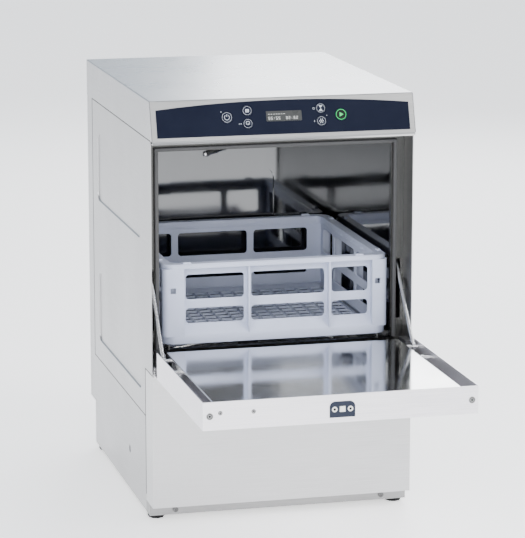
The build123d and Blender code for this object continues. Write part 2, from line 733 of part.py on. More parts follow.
strainer_radius = 46.0
strainer_top = filter_height - 5
with BuildPart() as suction_strainer:
    disc(sump_x, sump_depth, (sump_bottom + tank_wall + strainer_top) / 2, strainer_radius,
         strainer_top - sump_bottom - tank_wall, "Z")
    disc(sump_x, sump_depth, (sump_bottom + strainer_top) / 2 + tank_wall, strainer_radius - 1.5,
         strainer_top - sump_bottom, "Z", mode=Mode.SUBTRACT)
    with Locations((sump_x, deep(sump_depth), (sump_bottom + strainer_top) / 2)):
        with PolarLocations(strainer_radius, 24):
            Box(12, 4, 60, mode=Mode.SUBTRACT)
save("suction_strainer", suction_strainer)

with BuildPart() as tank_heater:
    pipe([(heater_x[0], chamber_rear + 9, heater_z), (heater_x[0], 112, heater_z),
          (heater_x[1], 112, heater_z), (heater_x[1], chamber_rear + 9, heater_z)],
         heater_radius, 18)
    block(heater_x[0] - 12, heater_x[1] + 12, chamber_rear + 0.2, chamber_rear + 6,
          heater_z - 14, heater_z + 14)
save("tank_heater", tank_heater)

with BuildPart() as overflow_pipe:
    disc(drain_x, drain_depth, (tank_bottom + overflow_top) / 2 + 1, overflow_radius,
         overflow_top - tank_bottom - 2, "Z")
    disc(drain_x, drain_depth, tank_bottom + 4.6, overflow_radius + 5, 5, "Z")
    disc(drain_x, drain_depth, (tank_bottom + overflow_top) / 2, overflow_radius - 1.6, 200, "Z",
         mode=Mode.SUBTRACT)
    with Locations((drain_x, deep(drain_depth), overflow_top - 12)):
        with PolarLocations(overflow_radius, 6):
            Box(10, 4, 12, mode=Mode.SUBTRACT)
save("overflow_pipe", overflow_pipe)

# ---------------------------------------------------------------- spray arms
ring_gap = 1.7
wash_ring = 15.7
rinse_ring = 11.7
cap_height = 7.0
block_radius = 30.0
block_height = 40.0
arm_bore = spindle_radius + running_clearance
rinse_bottom = lower_arm_bottom + wash_ring + ring_gap
lower_cap = rinse_bottom + rinse_ring + ring_gap
upper_arm_bottom = upper_arm_top - wash_ring
rinse_top = upper_arm_bottom - ring_gap
upper_cap = rinse_top - rinse_ring - ring_gap
lower_block_top = tank_bottom - 0.3
upper_block_bottom = chamber_roof + sheet + 0.3


def hub(low_block, high_block, neck_from, neck_to, spindle_to, cap_from, cap_to):
    """A fixed hub: a block outside the chamber, a neck through its wall and a spindle."""
    disc(0, arm_centre, (low_block + high_block) / 2, block_radius, abs(high_block - low_block))
    disc(0, arm_centre, (neck_from + neck_to) / 2, hub_neck, abs(neck_to - neck_from))
    disc(0, arm_centre, (neck_to + spindle_to) / 2, spindle_radius, abs(spindle_to - neck_to))
    disc(0, arm_centre, (cap_from + cap_to) / 2, hub_neck - 4, abs(cap_to - cap_from))


with BuildPart() as lower_arm_hub:
    hub(lower_block_top - block_height, lower_block_top, lower_block_top,
        lower_arm_bottom - ring_gap, lower_cap, lower_cap, lower_cap + cap_height)
    fillet(lower_arm_hub.edges().group_by(Axis.Z)[-1], 2)
save("lower_arm_hub", lower_arm_hub)

with BuildPart() as upper_arm_hub:
    hub(upper_block_bottom, upper_block_bottom + block_height, upper_block_bottom,
        upper_arm_top + ring_gap, upper_cap, upper_cap, upper_cap - cap_height)
    fillet(upper_arm_hub.edges().group_by(Axis.Z)[0], 2)
save("upper_arm_hub", upper_arm_hub)


def spray_arm(bottom, ring_height, ring_radius, arm_width, arm_height, turn, jets, jet_side):
    """A two-armed hollow spray arm on its ring, with slots along the side that sprays."""
    middle = bottom + ring_height / 2
    centre = Location((0, deep(arm_centre), middle), (0, 0, turn))
    with Locations(centre):
        Cylinder(ring_radius, ring_height)
        Box(2 * arm_length, arm_width, arm_height)
    with Locations(centre * Location((0, 0, 0))):
        Cylinder(arm_bore, ring_height + 10, mode=Mode.SUBTRACT)
    for index in range(jets):
        reach = ring_radius + 14 + index * (arm_length - ring_radius - 26) / (jets - 1)
        for side in (-1, 1):
            with Locations(centre * Location((side * reach, 0, jet_side * arm_height / 2))):
                Cylinder(1.6, 4, mode=Mode.SUBTRACT)


arm_specs = (
    ("lower_wash_arm", lower_arm_bottom, wash_ring, 24, 26, 12, 28, 1),
    ("lower_rinse_arm", rinse_bottom, rinse_ring, 17, 11, 9, -48, 1),
    ("upper_wash_arm", upper_arm_bottom, wash_ring, 24, 26, 12, -24, -1),
    ("upper_rinse_arm", rinse_top - rinse_ring, rinse_ring, 17, 11, 9, 52, -1),
)
for name, bottom, ring_height, ring_radius, arm_width, arm_height, turn, jet_side in arm_specs:
    with BuildPart() as arm:
        spray_arm(bottom, ring_height, ring_radius, arm_width, arm_height, turn, 5, jet_side)
    save(name, arm)

# ================================================================ pumps, boiler and pipes
wash_pipe = 12.0
rinse_pipe = 6.0
riser_depth = body_depth - 40
riser_x = 60.0
wash_level = 176.0          # the run to the riser, under the tank
branch_pipe = 9.0
wash_top = upper_block_bottom + block_height / 2
pump_z = 82.0
pump_radius = 55.0
pump_front = 230.0
pump_back = 274.0
outlet_top = 138.0
with BuildPart() as wash_manifold:
    pipe([(riser_x, arm_centre, outlet_top + 0.2), (riser_x, arm_centre, wash_level),
          (riser_x, riser_depth, wash_level), (riser_x, riser_depth, wash_top),
          (riser_x, arm_centre, wash_top), (block_radius + 0.3, arm_centre, wash_top)],
         wash_pipe, 16)
    disc((riser_x + block_radius + 0.3) / 2, arm_centre, wash_level - 17, branch_pipe,
         riser_x - block_radius - 0.3, "X")
save("wash_manifold", wash_manifold)

boiler_x = -110.0
boiler_depth = body_depth - 12
boiler_radius = 55.0
boiler_bottom = 190.0
boiler_top = 560.0
rinse_roof = height - 18
rinse_floor = 118.0
with BuildPart() as rinse_manifold:
    pipe([(boiler_x + boiler_radius + 0.3, boiler_depth, 520), (0, boiler_depth, 520),
          (0, boiler_depth, rinse_roof), (0, arm_centre, rinse_roof),
          (0, arm_centre, upper_block_bottom + block_height + 0.3)], rinse_pipe, 9)
    pipe([(0, boiler_depth, 540), (0, boiler_depth, rinse_floor), (0, arm_centre, rinse_floor),
          (0, arm_centre, lower_block_top - block_height - 0.3)], rinse_pipe, 9)
save("rinse_manifold", rinse_manifold)

volute_wall = 3.0
impeller_radius = 40.0
impeller_shaft = 6.0
eye_pipe = 15.0
eye_wall = 2.0
with BuildPart() as wash_pump_housing:
    disc(sump_x, (pump_front + pump_back) / 2, pump_z, pump_radius, pump_back - pump_front, "Y")
    disc(riser_x, arm_centre, (outlet_top + pump_z) / 2, wash_pipe, outlet_top - pump_z)
    pipe([(sump_x, pump_front + 2, pump_z), (sump_x, sump_depth, pump_z),
          (sump_x, sump_depth, sump_bottom - 0.3)], eye_pipe + eye_wall, 26)
    disc(sump_x, (pump_front + pump_back) / 2, pump_z, pump_radius - 2 * volute_wall,
         pump_back - pump_front - 2 * volute_wall, "Y", mode=Mode.SUBTRACT)
    pipe([(sump_x, pump_front + 6, pump_z), (sump_x, sump_depth, pump_z),
          (sump_x, sump_depth, sump_bottom + 1)], eye_pipe, 26, mode=Mode.SUBTRACT)
    disc(riser_x, arm_centre, outlet_top - 20, wash_pipe - eye_wall, 60, mode=Mode.SUBTRACT)
    disc(sump_x, pump_back, pump_z, impeller_shaft + running_clearance, 20, "Y",
         mode=Mode.SUBTRACT)
save("wash_pump_housing", wash_pump_housing)

with BuildPart() as wash_pump_impeller:
    disc(sump_x, pump_front + 34, pump_z, impeller_radius, 3, "Y")
    disc(sump_x, pump_front + 28, pump_z, 12, 14, "Y")
    disc(sump_x, pump_back - 2, pump_z, impeller_shaft, 18, "Y")
    for turn in range(6):
        with Locations(Location((sump_x, deep(pump_front + 27), pump_z), (0, turn * 60, 0))
                       * Location((24, 0, 6), (0, 25, 0))):
            Box(30, 12, 2.4)
save("wash_pump_impeller", wash_pump_impeller)

motor_front = pump_back + 8
motor_back = motor_front + 126
motor_radius = 52.0
with BuildPart() as wash_pump_motor:
    disc(sump_x, (motor_front + motor_back) / 2, pump_z, motor_radius,
         motor_back - motor_front, "Y")
    for turn in range(18):
        with Locations(Location((sump_x, deep((motor_front + motor_back) / 2), pump_z),
                                (0, turn * 20, 0)) * Location((motor_radius, 0, 0))):
            Box(5, motor_back - motor_front - 50, 3, mode=Mode.SUBTRACT)
    block(sump_x - 30, sump_x + 30, motor_front + 30, motor_back - 30, base_top + gap,
          pump_z - motor_radius + 8)
    block(sump_x - 22, sump_x + 22, motor_front + 20, motor_back - 40,
          pump_z + motor_radius - 6, pump_z + motor_radius + 10)
    disc(sump_x, motor_front, pump_z, 10, 22, "Y", mode=Mode.SUBTRACT)
save("wash_pump_motor", wash_pump_motor)

with BuildPart() as rinse_boiler:
    disc(boiler_x, boiler_depth, (boiler_bottom + boiler_top) / 2, boiler_radius,
         boiler_top - boiler_bottom)
    fillet(rinse_boiler.edges(), 12)
    disc(boiler_x, boiler_depth, (boiler_bottom + boiler_top) / 2, boiler_radius - 5,
         boiler_top - boiler_bottom - 24, mode=Mode.SUBTRACT)
    disc(boiler_x, boiler_depth, boiler_bottom - 8, 8, 18)
    disc(boiler_x, boiler_depth, boiler_top, 26, 40, mode=Mode.SUBTRACT)
save("rinse_boiler", rinse_boiler)

with BuildPart() as boiler_heater:
    disc(boiler_x, boiler_depth, boiler_top + 3.3, 34, 6)
    disc(boiler_x, boiler_depth, boiler_top + 20, 22, 36)
    for x in (boiler_x - 12, boiler_x + 12):
        disc(x, boiler_depth, boiler_top - 120, 4, 250)
    block(boiler_x - 16, boiler_x + 16, boiler_depth - 4, boiler_depth + 4, boiler_top - 249,
          boiler_top - 240)
save("boiler_heater", boiler_heater)

with BuildPart() as inlet_valve:
    block(inlet_x - 18, inlet_x + 18, body_depth - 50, body_depth - 6, inlet_height - 18,
          inlet_height + 18)
    disc(inlet_x, body_depth - 4, inlet_height, inlet_radius - 1.5, 16, "Y")
    disc(inlet_x, body_depth + hose_stand_off + inlet_thread / 2, inlet_height, inlet_radius,
         inlet_thread, "Y")
    disc(inlet_x, body_depth - 28, inlet_height + 34, 14, 36)
    disc(inlet_x, body_depth + 8, inlet_height, 8, 40, "Y", mode=Mode.SUBTRACT)
save("inlet_valve", inlet_valve)

drain_wall = 2.0
drain_spigot_radius = 15.0
drain_path = [(drain_x, drain_depth, tank_bottom - 0.3), (drain_x, drain_depth, drain_height),
              (drain_x, body_depth + hose_stand_off + drain_spigot, drain_height)]
with BuildPart() as drain_outlet:
    pipe(drain_path, drain_radius, 26)
    disc(drain_x, body_depth + hose_stand_off + drain_spigot / 2, drain_height,
         drain_spigot_radius, drain_spigot, "Y")
    pipe([(x, depth, z + (1 if depth == drain_depth and z > drain_height else 0))
          for x, depth, z in drain_path], drain_radius - drain_wall, 26, mode=Mode.SUBTRACT)
save("drain_outlet", drain_outlet)

with BuildPart() as dosing_pumps:
    for x in (-50, 40):
        block(x - 30, x + 30, 45, 95, base_top + gap, 78)
        disc(x, 40, 46, 22, 12, "Y")
        disc(x - 12, 70, 82, 4, 12)
        disc(x + 12, 70, 82, 4, 12)
save("dosing_pumps", dosing_pumps)

with BuildPart() as cable_gland:
    disc(gland_x, body_depth, gland_height, gland_radius, 24, "Y")
    with BuildSketch(Plane.XZ.offset(-deep(body_depth + 10))):
        with Locations((gland_x, gland_height)):
            RegularPolygon(13, 6)
    extrude(amount=8)
    disc(gland_x, body_depth, gland_height, 6, 60, "Y", mode=Mode.SUBTRACT)
save("cable_gland", cable_gland)

# ================================================================ dish rack
rack_half = rack_size / 2
rack_centre = rack_front + rack_half
rack_top = rack_floor + rack_height
rim_height = 9.0
skirt_height = 14.5
ledge_height = 32.0
window_rows = ((33.5, 59.5), (75.5, 118.5))
window_inset = 6.5
bay_walls = (-164.0, -48.0, 96.0, 174.0)
rack_bevel = 4.0
floor_bars = 15
bar_width = 4.0
floor_thickness = 4.0
panel_hole = 5.0


def rack_side(turn):
    """Place work on one side of the rack: X runs along the side, Y points inward."""
    return Locations(Location((0, deep(rack_centre), rack_floor), (0, 0, turn)))


def side_box(x0, x1, in0, in1, z0, z1):
    """Cut a box from a side of the rack, inward from its face and up from its underside."""
    with Locations(((x0 + x1) / 2, -rack_half + (in0 + in1) / 2, (z0 + z1) / 2)):
        Box(x1 - x0, in1 - in0, z1 - z0, mode=Mode.SUBTRACT)


def cut_ledge(turn, left, right):
    """Slope the ledge at the foot of one bay of a side wall."""
    along = (cos(radians(turn)), sin(radians(turn)), 0)
    inward = (-along[1], along[0], 0)
    corner = (left * along[0] - rack_half * inward[0],
              deep(rack_centre) + left * along[1] - rack_half * inward[1], rack_floor)
    with BuildSketch(Plane(origin=corner, x_dir=inward, z_dir=along)) as slope:
        Polygon((-1, skirt_height), (0, skirt_height), (rack_recess, ledge_height),
                (-1, ledge_height), align=None)
    extrude(slope.sketch, amount=right - left, mode=Mode.SUBTRACT)


with BuildPart() as rack:
    block(-rack_half, rack_half, rack_front, rack_front + rack_size, rack_floor, rack_top)
    chamfer(rack.edges().filter_by(Axis.Z), rack_bevel)
    block(-rack_half + rack_recess + rack_wall, rack_half - rack_recess - rack_wall,
          rack_front + rack_recess + rack_wall,
          rack_front + rack_size - rack_recess - rack_wall,
          rack_floor + floor_thickness, rack_top + 1, mode=Mode.SUBTRACT)
    for turn in (0, 90, 180, 270):
        for left, right in zip(bay_walls[:-1], bay_walls[1:]):
            cut_ledge(turn, left + rack_wall / 2, right - rack_wall / 2)
        with rack_side(turn):
            for left, right in zip(bay_walls[:-1], bay_walls[1:]):
                side_box(left + rack_wall / 2, right - rack_wall / 2, -1, rack_recess,
                         ledge_height, rack_height - rim_height)
                for low, high in window_rows:
                    side_box(left + window_inset, right - window_inset, rack_recess - 1,
                             rack_recess + rack_wall + 1, low, high)
            for x in (-rack_half + 18, rack_half - 18):
                side_box(x - panel_hole, x + panel_hole, -1, 8, 89, 99)
    with Locations((0, deep(rack_centre), rack_floor + floor_thickness / 2)):
        floor_pitch = 2 * (rack_half - rack_recess - rack_wall) / floor_bars
        with GridLocations(floor_pitch, floor_pitch, floor_bars, floor_bars):
            Box(floor_pitch - bar_width, floor_pitch - bar_width, 3 * floor_thickness,
                mode=Mode.SUBTRACT)
    with Locations((-rack_half + 43, deep(rack_front + 5), rack_top)):
        Box(16, 7, 6)
save("rack", rack)
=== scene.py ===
import math

import bmesh
import bpy
from mathutils import Matrix, Vector


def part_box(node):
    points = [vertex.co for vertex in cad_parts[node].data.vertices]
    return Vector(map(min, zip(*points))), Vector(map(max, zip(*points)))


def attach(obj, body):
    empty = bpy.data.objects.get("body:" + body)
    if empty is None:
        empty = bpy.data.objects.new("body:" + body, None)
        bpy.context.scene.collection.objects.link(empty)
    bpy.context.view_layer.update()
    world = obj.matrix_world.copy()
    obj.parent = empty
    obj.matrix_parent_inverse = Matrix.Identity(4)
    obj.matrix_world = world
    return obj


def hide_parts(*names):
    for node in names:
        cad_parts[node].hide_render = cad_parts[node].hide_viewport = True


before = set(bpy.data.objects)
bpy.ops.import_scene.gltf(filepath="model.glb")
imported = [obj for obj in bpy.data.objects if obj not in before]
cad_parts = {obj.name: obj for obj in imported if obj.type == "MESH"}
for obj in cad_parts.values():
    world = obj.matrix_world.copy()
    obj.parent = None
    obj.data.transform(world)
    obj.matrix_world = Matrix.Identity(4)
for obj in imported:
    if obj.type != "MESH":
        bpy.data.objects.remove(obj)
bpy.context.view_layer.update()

MM = 0.001
MACHINE = "machine"
DOOR = "door"
RACK = "dish_rack"
FRONT = (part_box("lower_front_panel")[0][1]) / MM      # y of the body's front plane, mm

# ------------------------------------------------------------------ camera
AZIMUTH = math.radians(-14.1)
PITCH = math.radians(11.68)
TARGET = Vector((0.0262, 0.1478, 0.3863))
DISTANCE = 4.867
SENSOR = 36.0
FOCAL_LENGTH = SENSOR * 2704.0 / 538.0      # the lens found by fitting the camera to the object
back = Vector((math.sin(AZIMUTH) * math.cos(PITCH), -math.cos(AZIMUTH) * math.cos(PITCH),
               math.sin(PITCH)))
camera = bpy.data.objects.new("camera", bpy.data.cameras.new("camera"))
bpy.context.scene.collection.objects.link(camera)
camera.data.sensor_fit = "VERTICAL"
camera.data.sensor_height = SENSOR
camera.data.lens = FOCAL_LENGTH
camera.data.clip_end = 60.0
camera.location = TARGET + DISTANCE * back
camera.rotation_euler = (-back).to_track_quat("-Z", "Y").to_euler()
bpy.context.scene.camera = camera


# ------------------------------------------------------------------ materials
class Shader:
    """A node material with a Principled shader and short calls for its textures."""

    def __init__(self, name, color, roughness, metallic=0.0, **constants):
        self.material = bpy.data.materials.new(name)
        self.material.use_nodes = True
        self.nodes = self.material.node_tree.nodes
        self.links = self.material.node_tree.links
        self.shader = self.nodes["Principled BSDF"]
        self.shader.inputs["Base Color"].default_value = (*color, 1)
        self.shader.inputs["Roughness"].default_value = roughness
        self.shader.inputs["Metallic"].default_value = metallic
        for socket, value in constants.items():
            self.shader.inputs[socket.replace("_", " ")].default_value = value
        self.color = color
        self.coordinates = self.nodes.new("ShaderNodeTexCoord")
        self.height = None

    def noise(self, scale, detail=3.0, stretch=(1, 1, 1), roughness=0.5, distortion=0.0):
        """A noise texture in object space, stretched along the axes."""
        mapping = self.nodes.new("ShaderNodeMapping")
        mapping.inputs["Scale"].default_value = stretch
        self.links.new(self.coordinates.outputs["Object"], mapping.inputs["Vector"])
        texture = self.nodes.new("ShaderNodeTexNoise")
        texture.inputs["Scale"].default_value = scale
        texture.inputs["Detail"].default_value = detail
        texture.inputs["Roughness"].default_value = roughness
        texture.inputs["Distortion"].default_value = distortion
        self.links.new(mapping.outputs["Vector"], texture.inputs["Vector"])
        return texture.outputs["Fac"]

    def ramp(self, value, low, high, to_low, to_high):
        """Map a range of a value to another range."""
        node = self.nodes.new("ShaderNodeMapRange")
        for socket, number in (("From Min", low), ("From Max", high),
                               ("To Min", to_low), ("To Max", to_high)):
            node.inputs[socket].default_value = number
        self.links.new(value, node.inputs["Value"])
        return node.outputs["Result"]

    def tint(self, value, low, high, amount):
        """Darken the base colour where the value is low."""
        mix = self.nodes.new("ShaderNodeMix")
        mix.data_type = "RGBA"
        factor = self.ramp(value, low, high, 1.0, 0.0)
        self.links.new(factor, mix.inputs["Factor"])
        source = self.shader.inputs["Base Color"]
        if source.is_linked:
            self.links.new(source.links[0].from_socket, mix.inputs["A"])
        else:
            mix.inputs["A"].default_value = (*self.color, 1)
        mix.inputs["B"].default_value = (*[channel * (1 - amount) for channel in self.color], 1)
        self.links.new(mix.outputs["Result"], self.shader.inputs["Base Color"])

    def rough(self, value, low, high, to_low, to_high):
        """Let a texture vary the roughness."""
        self.links.new(self.ramp(value, low, high, to_low, to_high),
                       self.shader.inputs["Roughness"])

    def bump(self, value, strength, distance):
        """Add a bump layer on top of any that is there."""
        node = self.nodes.new("ShaderNodeBump")
        node.inputs["Strength"].default_value = strength
        node.inputs["Distance"].default_value = distance
        self.links.new(value, node.inputs["Height"])
        if self.height:
            self.links.new(self.height, node.inputs["Normal"])
        self.height = node.outputs["Normal"]
        self.links.new(self.height, self.shader.inputs["Normal"])


def brushed_steel(name, color, rough_low, rough_high, brush, wave=0.35, grain=0.25):
    """Sheet steel brushed along one axis, slightly wavy, with faint smears."""
    shader = Shader(name, color, rough_low, 1.0)
    stretch = [1.0 if axis != brush else 0.012 for axis in "XYZ"]
    lines = shader.noise(900.0, 2.0, stretch)
    smear = shader.noise(5.0, 4.0, (1, 1, 0.6), 0.6, 0.4)
    shader.rough(smear, 0.3, 0.7, rough_low, rough_high)
    shader.tint(lines, 0.38, 0.62, 0.10)
    shader.tint(smear, 0.25, 0.6, 0.05)
    shader.bump(shader.noise(3.2, 1.0), wave, 0.0012)
    shader.bump(lines, grain, 0.00004)
    return shader.material


def bright_steel(name, color, rough_low, rough_high, wave):
    """Pressed bright steel: near mirror, wavy, with dried-water haze."""
    shader = Shader(name, color, rough_low, 1.0)
    haze = shader.noise(9.0, 5.0, (1, 1, 0.5), 0.6, 0.6)
    shader.rough(haze, 0.35, 0.75, rough_low, rough_high)
    shader.tint(haze, 0.3, 0.7, 0.08)
    shader.bump(shader.noise(4.0, 1.5), wave, 0.0020)
    shader.bump(shader.noise(700.0, 2.0, (1, 1, 0.03)), 0.08, 0.00003)
    return shader.material


def moulded(name, color, roughness, grain=0.25, tint=0.12, scale=1400.0, **constants):
    """Moulded plastic or rubber with a fine grain and uneven gloss."""
    shader = Shader(name, color, roughness, 0.0, **constants)
    cloud = shader.noise(14.0, 4.0, (1, 1, 1), 0.6)
    shader.rough(cloud, 0.3, 0.7, roughness - 0.06, roughness + 0.08)
    shader.tint(cloud, 0.3, 0.75, tint)
    shader.bump(shader.noise(scale, 2.0), grain, 0.00006)
    return shader.material


def glowing(name, color, strength, roughness=0.35):
    """A printed mark lit from behind."""
    shader = Shader(name, color, roughness)
    shader.shader.inputs["Emission Color"].default_value = (*color, 1)
    shader.shader.inputs["Emission Strength"].default_value = strength
    shader.tint(shader.noise(300.0, 2.0), 0.3, 0.7, 0.15)
    return shader.material


# The casing steels below are copies of one brushed stainless sheet whose base colours are set face
# by face for how light falls on each, so the differences between them are painted light and shade.
STEEL = (0.44, 0.44, 0.445)
side_steel = brushed_steel("side_steel", STEEL, 0.30, 0.38, "Y")
# Lower front panel: partly its own tone, partly painted shade from the door above it.
front_steel_door_shade = brushed_steel("front_steel_door_shade", (0.56, 0.56, 0.565), 0.28, 0.36, "X")
fascia_steel = brushed_steel("fascia_steel", (0.56, 0.56, 0.555), 0.26, 0.34, "X")
top_steel = brushed_steel("top_steel", (0.40, 0.405, 0.415), 0.24, 0.32, "Y")
# Door shell: brighter than stainless reflects, partly its own finish and partly painted light.
door_steel_painted_light = brushed_steel("door_steel_painted_light", (0.90, 0.88, 0.92), 0.32, 0.42, "X", 0.15, 0.15)
# Front frame: steel painted nearly black as the shade under the fascia and round the opening.
frame_steel_painted_shade = brushed_steel("frame_steel_painted_shade", (0.085, 0.085, 0.082), 0.20, 0.30, "Z")
base_steel = brushed_steel("base_steel", (0.31, 0.31, 0.31), 0.34, 0.44, "X")
# Wash chamber: bright steel painted dark as the shade inside the chamber.
chamber_steel_painted_shade = bright_steel("chamber_steel_painted_shade", (0.14, 0.142, 0.145), 0.035, 0.10, 0.45)
panel_mirror = bright_steel("panel_mirror", (0.70, 0.705, 0.71), 0.07, 0.16, 0.25)
tank_steel = bright_steel("tank_steel", (0.60, 0.60, 0.60), 0.16, 0.28, 0.4)
part_steel = brushed_steel("part_steel", (0.60, 0.60, 0.605), 0.22, 0.32, "Z", 0.1)
screw_steel = brushed_steel("screw_steel", (0.34, 0.34, 0.34), 0.24, 0.36, "X", 0.05)
rail_screw_steel = brushed_steel("rail_screw_steel", (0.13, 0.13, 0.13), 0.24, 0.36, "X",
                                 0.05)
spring_steel = brushed_steel("spring_steel", (0.50, 0.50, 0.51), 0.26, 0.36, "Z", 0.05)
# Hinge brackets: steel painted dark as the shade in the gap beside the door.
hinge_steel_painted_shade = brushed_steel("hinge_steel_painted_shade", (0.16, 0.16, 0.165), 0.35, 0.45, "Y", 0.1)
rack_plastic = moulded("rack_plastic", (0.52, 0.565, 0.72), 0.42, 0.30, 0.10, 900.0,
                       Subsurface_Weight=0.12, Subsurface_Radius=(0.004, 0.004, 0.005))
navy_film = moulded("navy_film", (0.002, 0.004, 0.014), 0.38, 0.45, 0.18, 2600.0,
                    Specular_IOR_Level=0.12)
navy_plate = moulded("navy_plate", (0.007, 0.012, 0.028), 0.38, 0.3, 0.15,
                     Specular_IOR_Level=0.3)
black_plastic = moulded("black_plastic", (0.018, 0.018, 0.019), 0.50, 0.5, 0.2)
# Black for painted shade in the screw and latch recesses, and for the printed ground of the start
# button.
recess_shade_and_print_black = moulded("recess_shade_and_print_black", (0.010, 0.010, 0.011), 0.55, 0.3, 0.2,
                       Specular_IOR_Level=0.1)
foot_plastic = moulded("foot_plastic", (0.008, 0.008, 0.009), 0.62, 0.6, 0.2,
                       Specular_IOR_Level=0.12)
gasket_rubber = moulded("gasket_rubber", (0.055, 0.055, 0.058), 0.62, 0.6, 0.2)
white_plastic = moulded("white_plastic", (0.80, 0.80, 0.78), 0.38, 0.2, 0.08)
plug_plastic = moulded("plug_plastic", (0.17, 0.175, 0.18), 0.45, 0.3, 0.1)
pump_plastic = moulded("pump_plastic", (0.045, 0.046, 0.05), 0.45, 0.5, 0.2)
# Dark strips of painted shadow for the gaps between the casing's sheets.
seam_shadow_paint = moulded("seam_shadow_paint", (0.045, 0.045, 0.046), 0.60, 0.3, 0.2,
                    Specular_IOR_Level=0.15)
hose_rubber = moulded("hose_rubber", (0.05, 0.05, 0.052), 0.55, 0.6, 0.2)
board_green = moulded("board_green", (0.02, 0.14, 0.05), 0.35, 0.3, 0.3, 400.0)
motor_paint = moulded("motor_paint", (0.05, 0.055, 0.06), 0.42, 0.6, 0.25, 600.0)
print_white = glowing("print_white", (0.42, 0.45, 0.50), 0.2)
print_grey = moulded("print_grey", (0.33, 0.36, 0.40), 0.40, 0.1, 0.05)
lamp_green = glowing("lamp_green", (0.0, 0.42, 0.09), 0.9)
screen_face = moulded("screen_face", (0.040, 0.042, 0.042), 0.26, 0.05, 0.2,
                      Specular_IOR_Level=0.25)
screen_pixel = glowing("screen_pixel", (0.50, 0.51, 0.50), 0.5)
brass = moulded("brass", (0.60, 0.42, 0.16), 0.32, 0.3, 0.2, 500.0, Metallic=1.0)
nozzle_steel = brushed_steel("nozzle_steel", (0.46, 0.46, 0.465), 0.18, 0.28, "Z", 0.05)

finishes = {
    "side_panel_left": side_steel, "side_panel_right": side_steel,
    "lower_side_panel_left": side_steel, "lower_side_panel_right": side_steel,
    "lower_front_panel": front_steel_door_shade, "back_panel": side_steel, "rear_cover": side_steel,
    "top_cover": top_steel, "control_fascia": fascia_steel, "front_frame": frame_steel_painted_shade,
    "base_frame": base_steel, "levelling_feet": foot_plastic, "casing_screws": rail_screw_steel,
    "access_plugs": plug_plastic, "control_overlay": navy_film, "display_window": screen_face,
    "control_board": board_green, "door_gasket": gasket_rubber, "hinge_plates": part_steel,
    "door_switch": black_plastic, "door_outer_shell": door_steel_painted_light,
    "door_inner_panel": panel_mirror, "door_hinge_brackets": hinge_steel_painted_shade,
    "door_latch_plate": navy_plate, "door_catch": white_plastic, "door_screws": screw_steel,
    "stay_pins": part_steel, "stay_rods": part_steel, "stay_springs": spring_steel,
    "wash_chamber": chamber_steel_painted_shade, "wash_tank": tank_steel, "rack_rails": part_steel,
    "tank_filter": part_steel, "suction_strainer": part_steel, "tank_heater": screw_steel,
    "overflow_pipe": pump_plastic, "lower_arm_hub": pump_plastic, "upper_arm_hub": pump_plastic,
    "lower_wash_arm": part_steel, "upper_wash_arm": part_steel, "lower_rinse_arm": part_steel,
    "upper_rinse_arm": part_steel, "wash_manifold": hose_rubber, "rinse_manifold": hose_rubber,
    "wash_pump_housing": pump_plastic, "wash_pump_impeller": pump_plastic,
    "wash_pump_motor": motor_paint, "rinse_boiler": tank_steel, "boiler_heater": screw_steel,
    "inlet_valve": black_plastic, "drain_outlet": black_plastic, "dosing_pumps": black_plastic,
    "cable_gland": black_plastic, "rack": rack_plastic,
}
for node in ("power", "program", "temperature", "cold_rinse", "drain", "start"):
    finishes[node + "_button"] = navy_film
for node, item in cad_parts.items():
    item.data.materials.clear()
    item.data.materials.append(finishes[node])


# ------------------------------------------------------------------ shape helpers
THINNEST = 0.001            # least straight edge each side of a plate's middle, mm


def deep(depth):
    """The y coordinate, in mm, of a distance behind the body's front plane."""
    return FRONT + depth


def box_mm(node):
    """The corners of a CAD node's box in mm."""
    return [[value / MM for value in corner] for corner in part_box(node)]


def mesh_from(builder, name):
    """Turn a bmesh into a mesh with its faces pointing outwards."""
    mesh = bpy.data.meshes.new(name)
    bmesh.ops.recalc_face_normals(builder, faces=builder.faces)
    builder.to_mesh(mesh)
    builder.free()
    return mesh


def mesh_from_curve(curve):
    """Turn a curve into a mesh and remove the curve."""
    holder = bpy.data.objects.new(curve.name, curve)
    bpy.context.scene.collection.objects.link(holder)
    bpy.context.view_layer.update()
    mesh = bpy.data.meshes.new_from_object(holder)
    bpy.data.objects.remove(holder)
    bpy.data.curves.remove(curve)
    return mesh


def rounded_rectangle(width, height, radius, steps=6, centre=(0, 0)):
    """Points round a rectangle with rounded corners, anticlockwise."""
    points = []
    for corner, (sx, sy) in enumerate(((1, 1), (-1, 1), (-1, -1), (1, -1))):
        cx = centre[0] + sx * (width / 2 - radius)
        cy = centre[1] + sy * (height / 2 - radius)
        for step in range(steps + 1):
            angle = math.pi / 2 * (corner + step / steps)
            points.append((cx + radius * math.cos(angle), cy + radius * math.sin(angle)))
    return points


def circle(radius, steps, centre=(0, 0)):
    """Points round a circle, anticlockwise."""
    return [(centre[0] + radius * math.cos(2 * math.pi * step / steps),
             centre[1] + radius * math.sin(2 * math.pi * step / steps)) for step in range(steps)]


def plate_mesh(outlines, thickness, bevel=0.0):
    """A flat plate from closed outlines in mm, holes cut by inner ones, with rounded edges.

    It is centred on z = 0 and its outlines give the outer size.
    """
    curve = bpy.data.curves.new("plate", "CURVE")
    curve.dimensions = "2D"
    curve.fill_mode = "BOTH"
    for points in outlines:
        spline = curve.splines.new("POLY")
        spline.points.add(len(points) - 1)
        for point, (x, y) in zip(spline.points, points):
            point.co = (x * MM, y * MM, 0, 1)
        spline.use_cyclic_u = True
    curve.extrude = max(thickness / 2 - bevel, THINNEST) * MM
    curve.bevel_depth = bevel * MM
    curve.bevel_resolution = 2
    curve.offset = -bevel * MM
    return mesh_from_curve(curve)


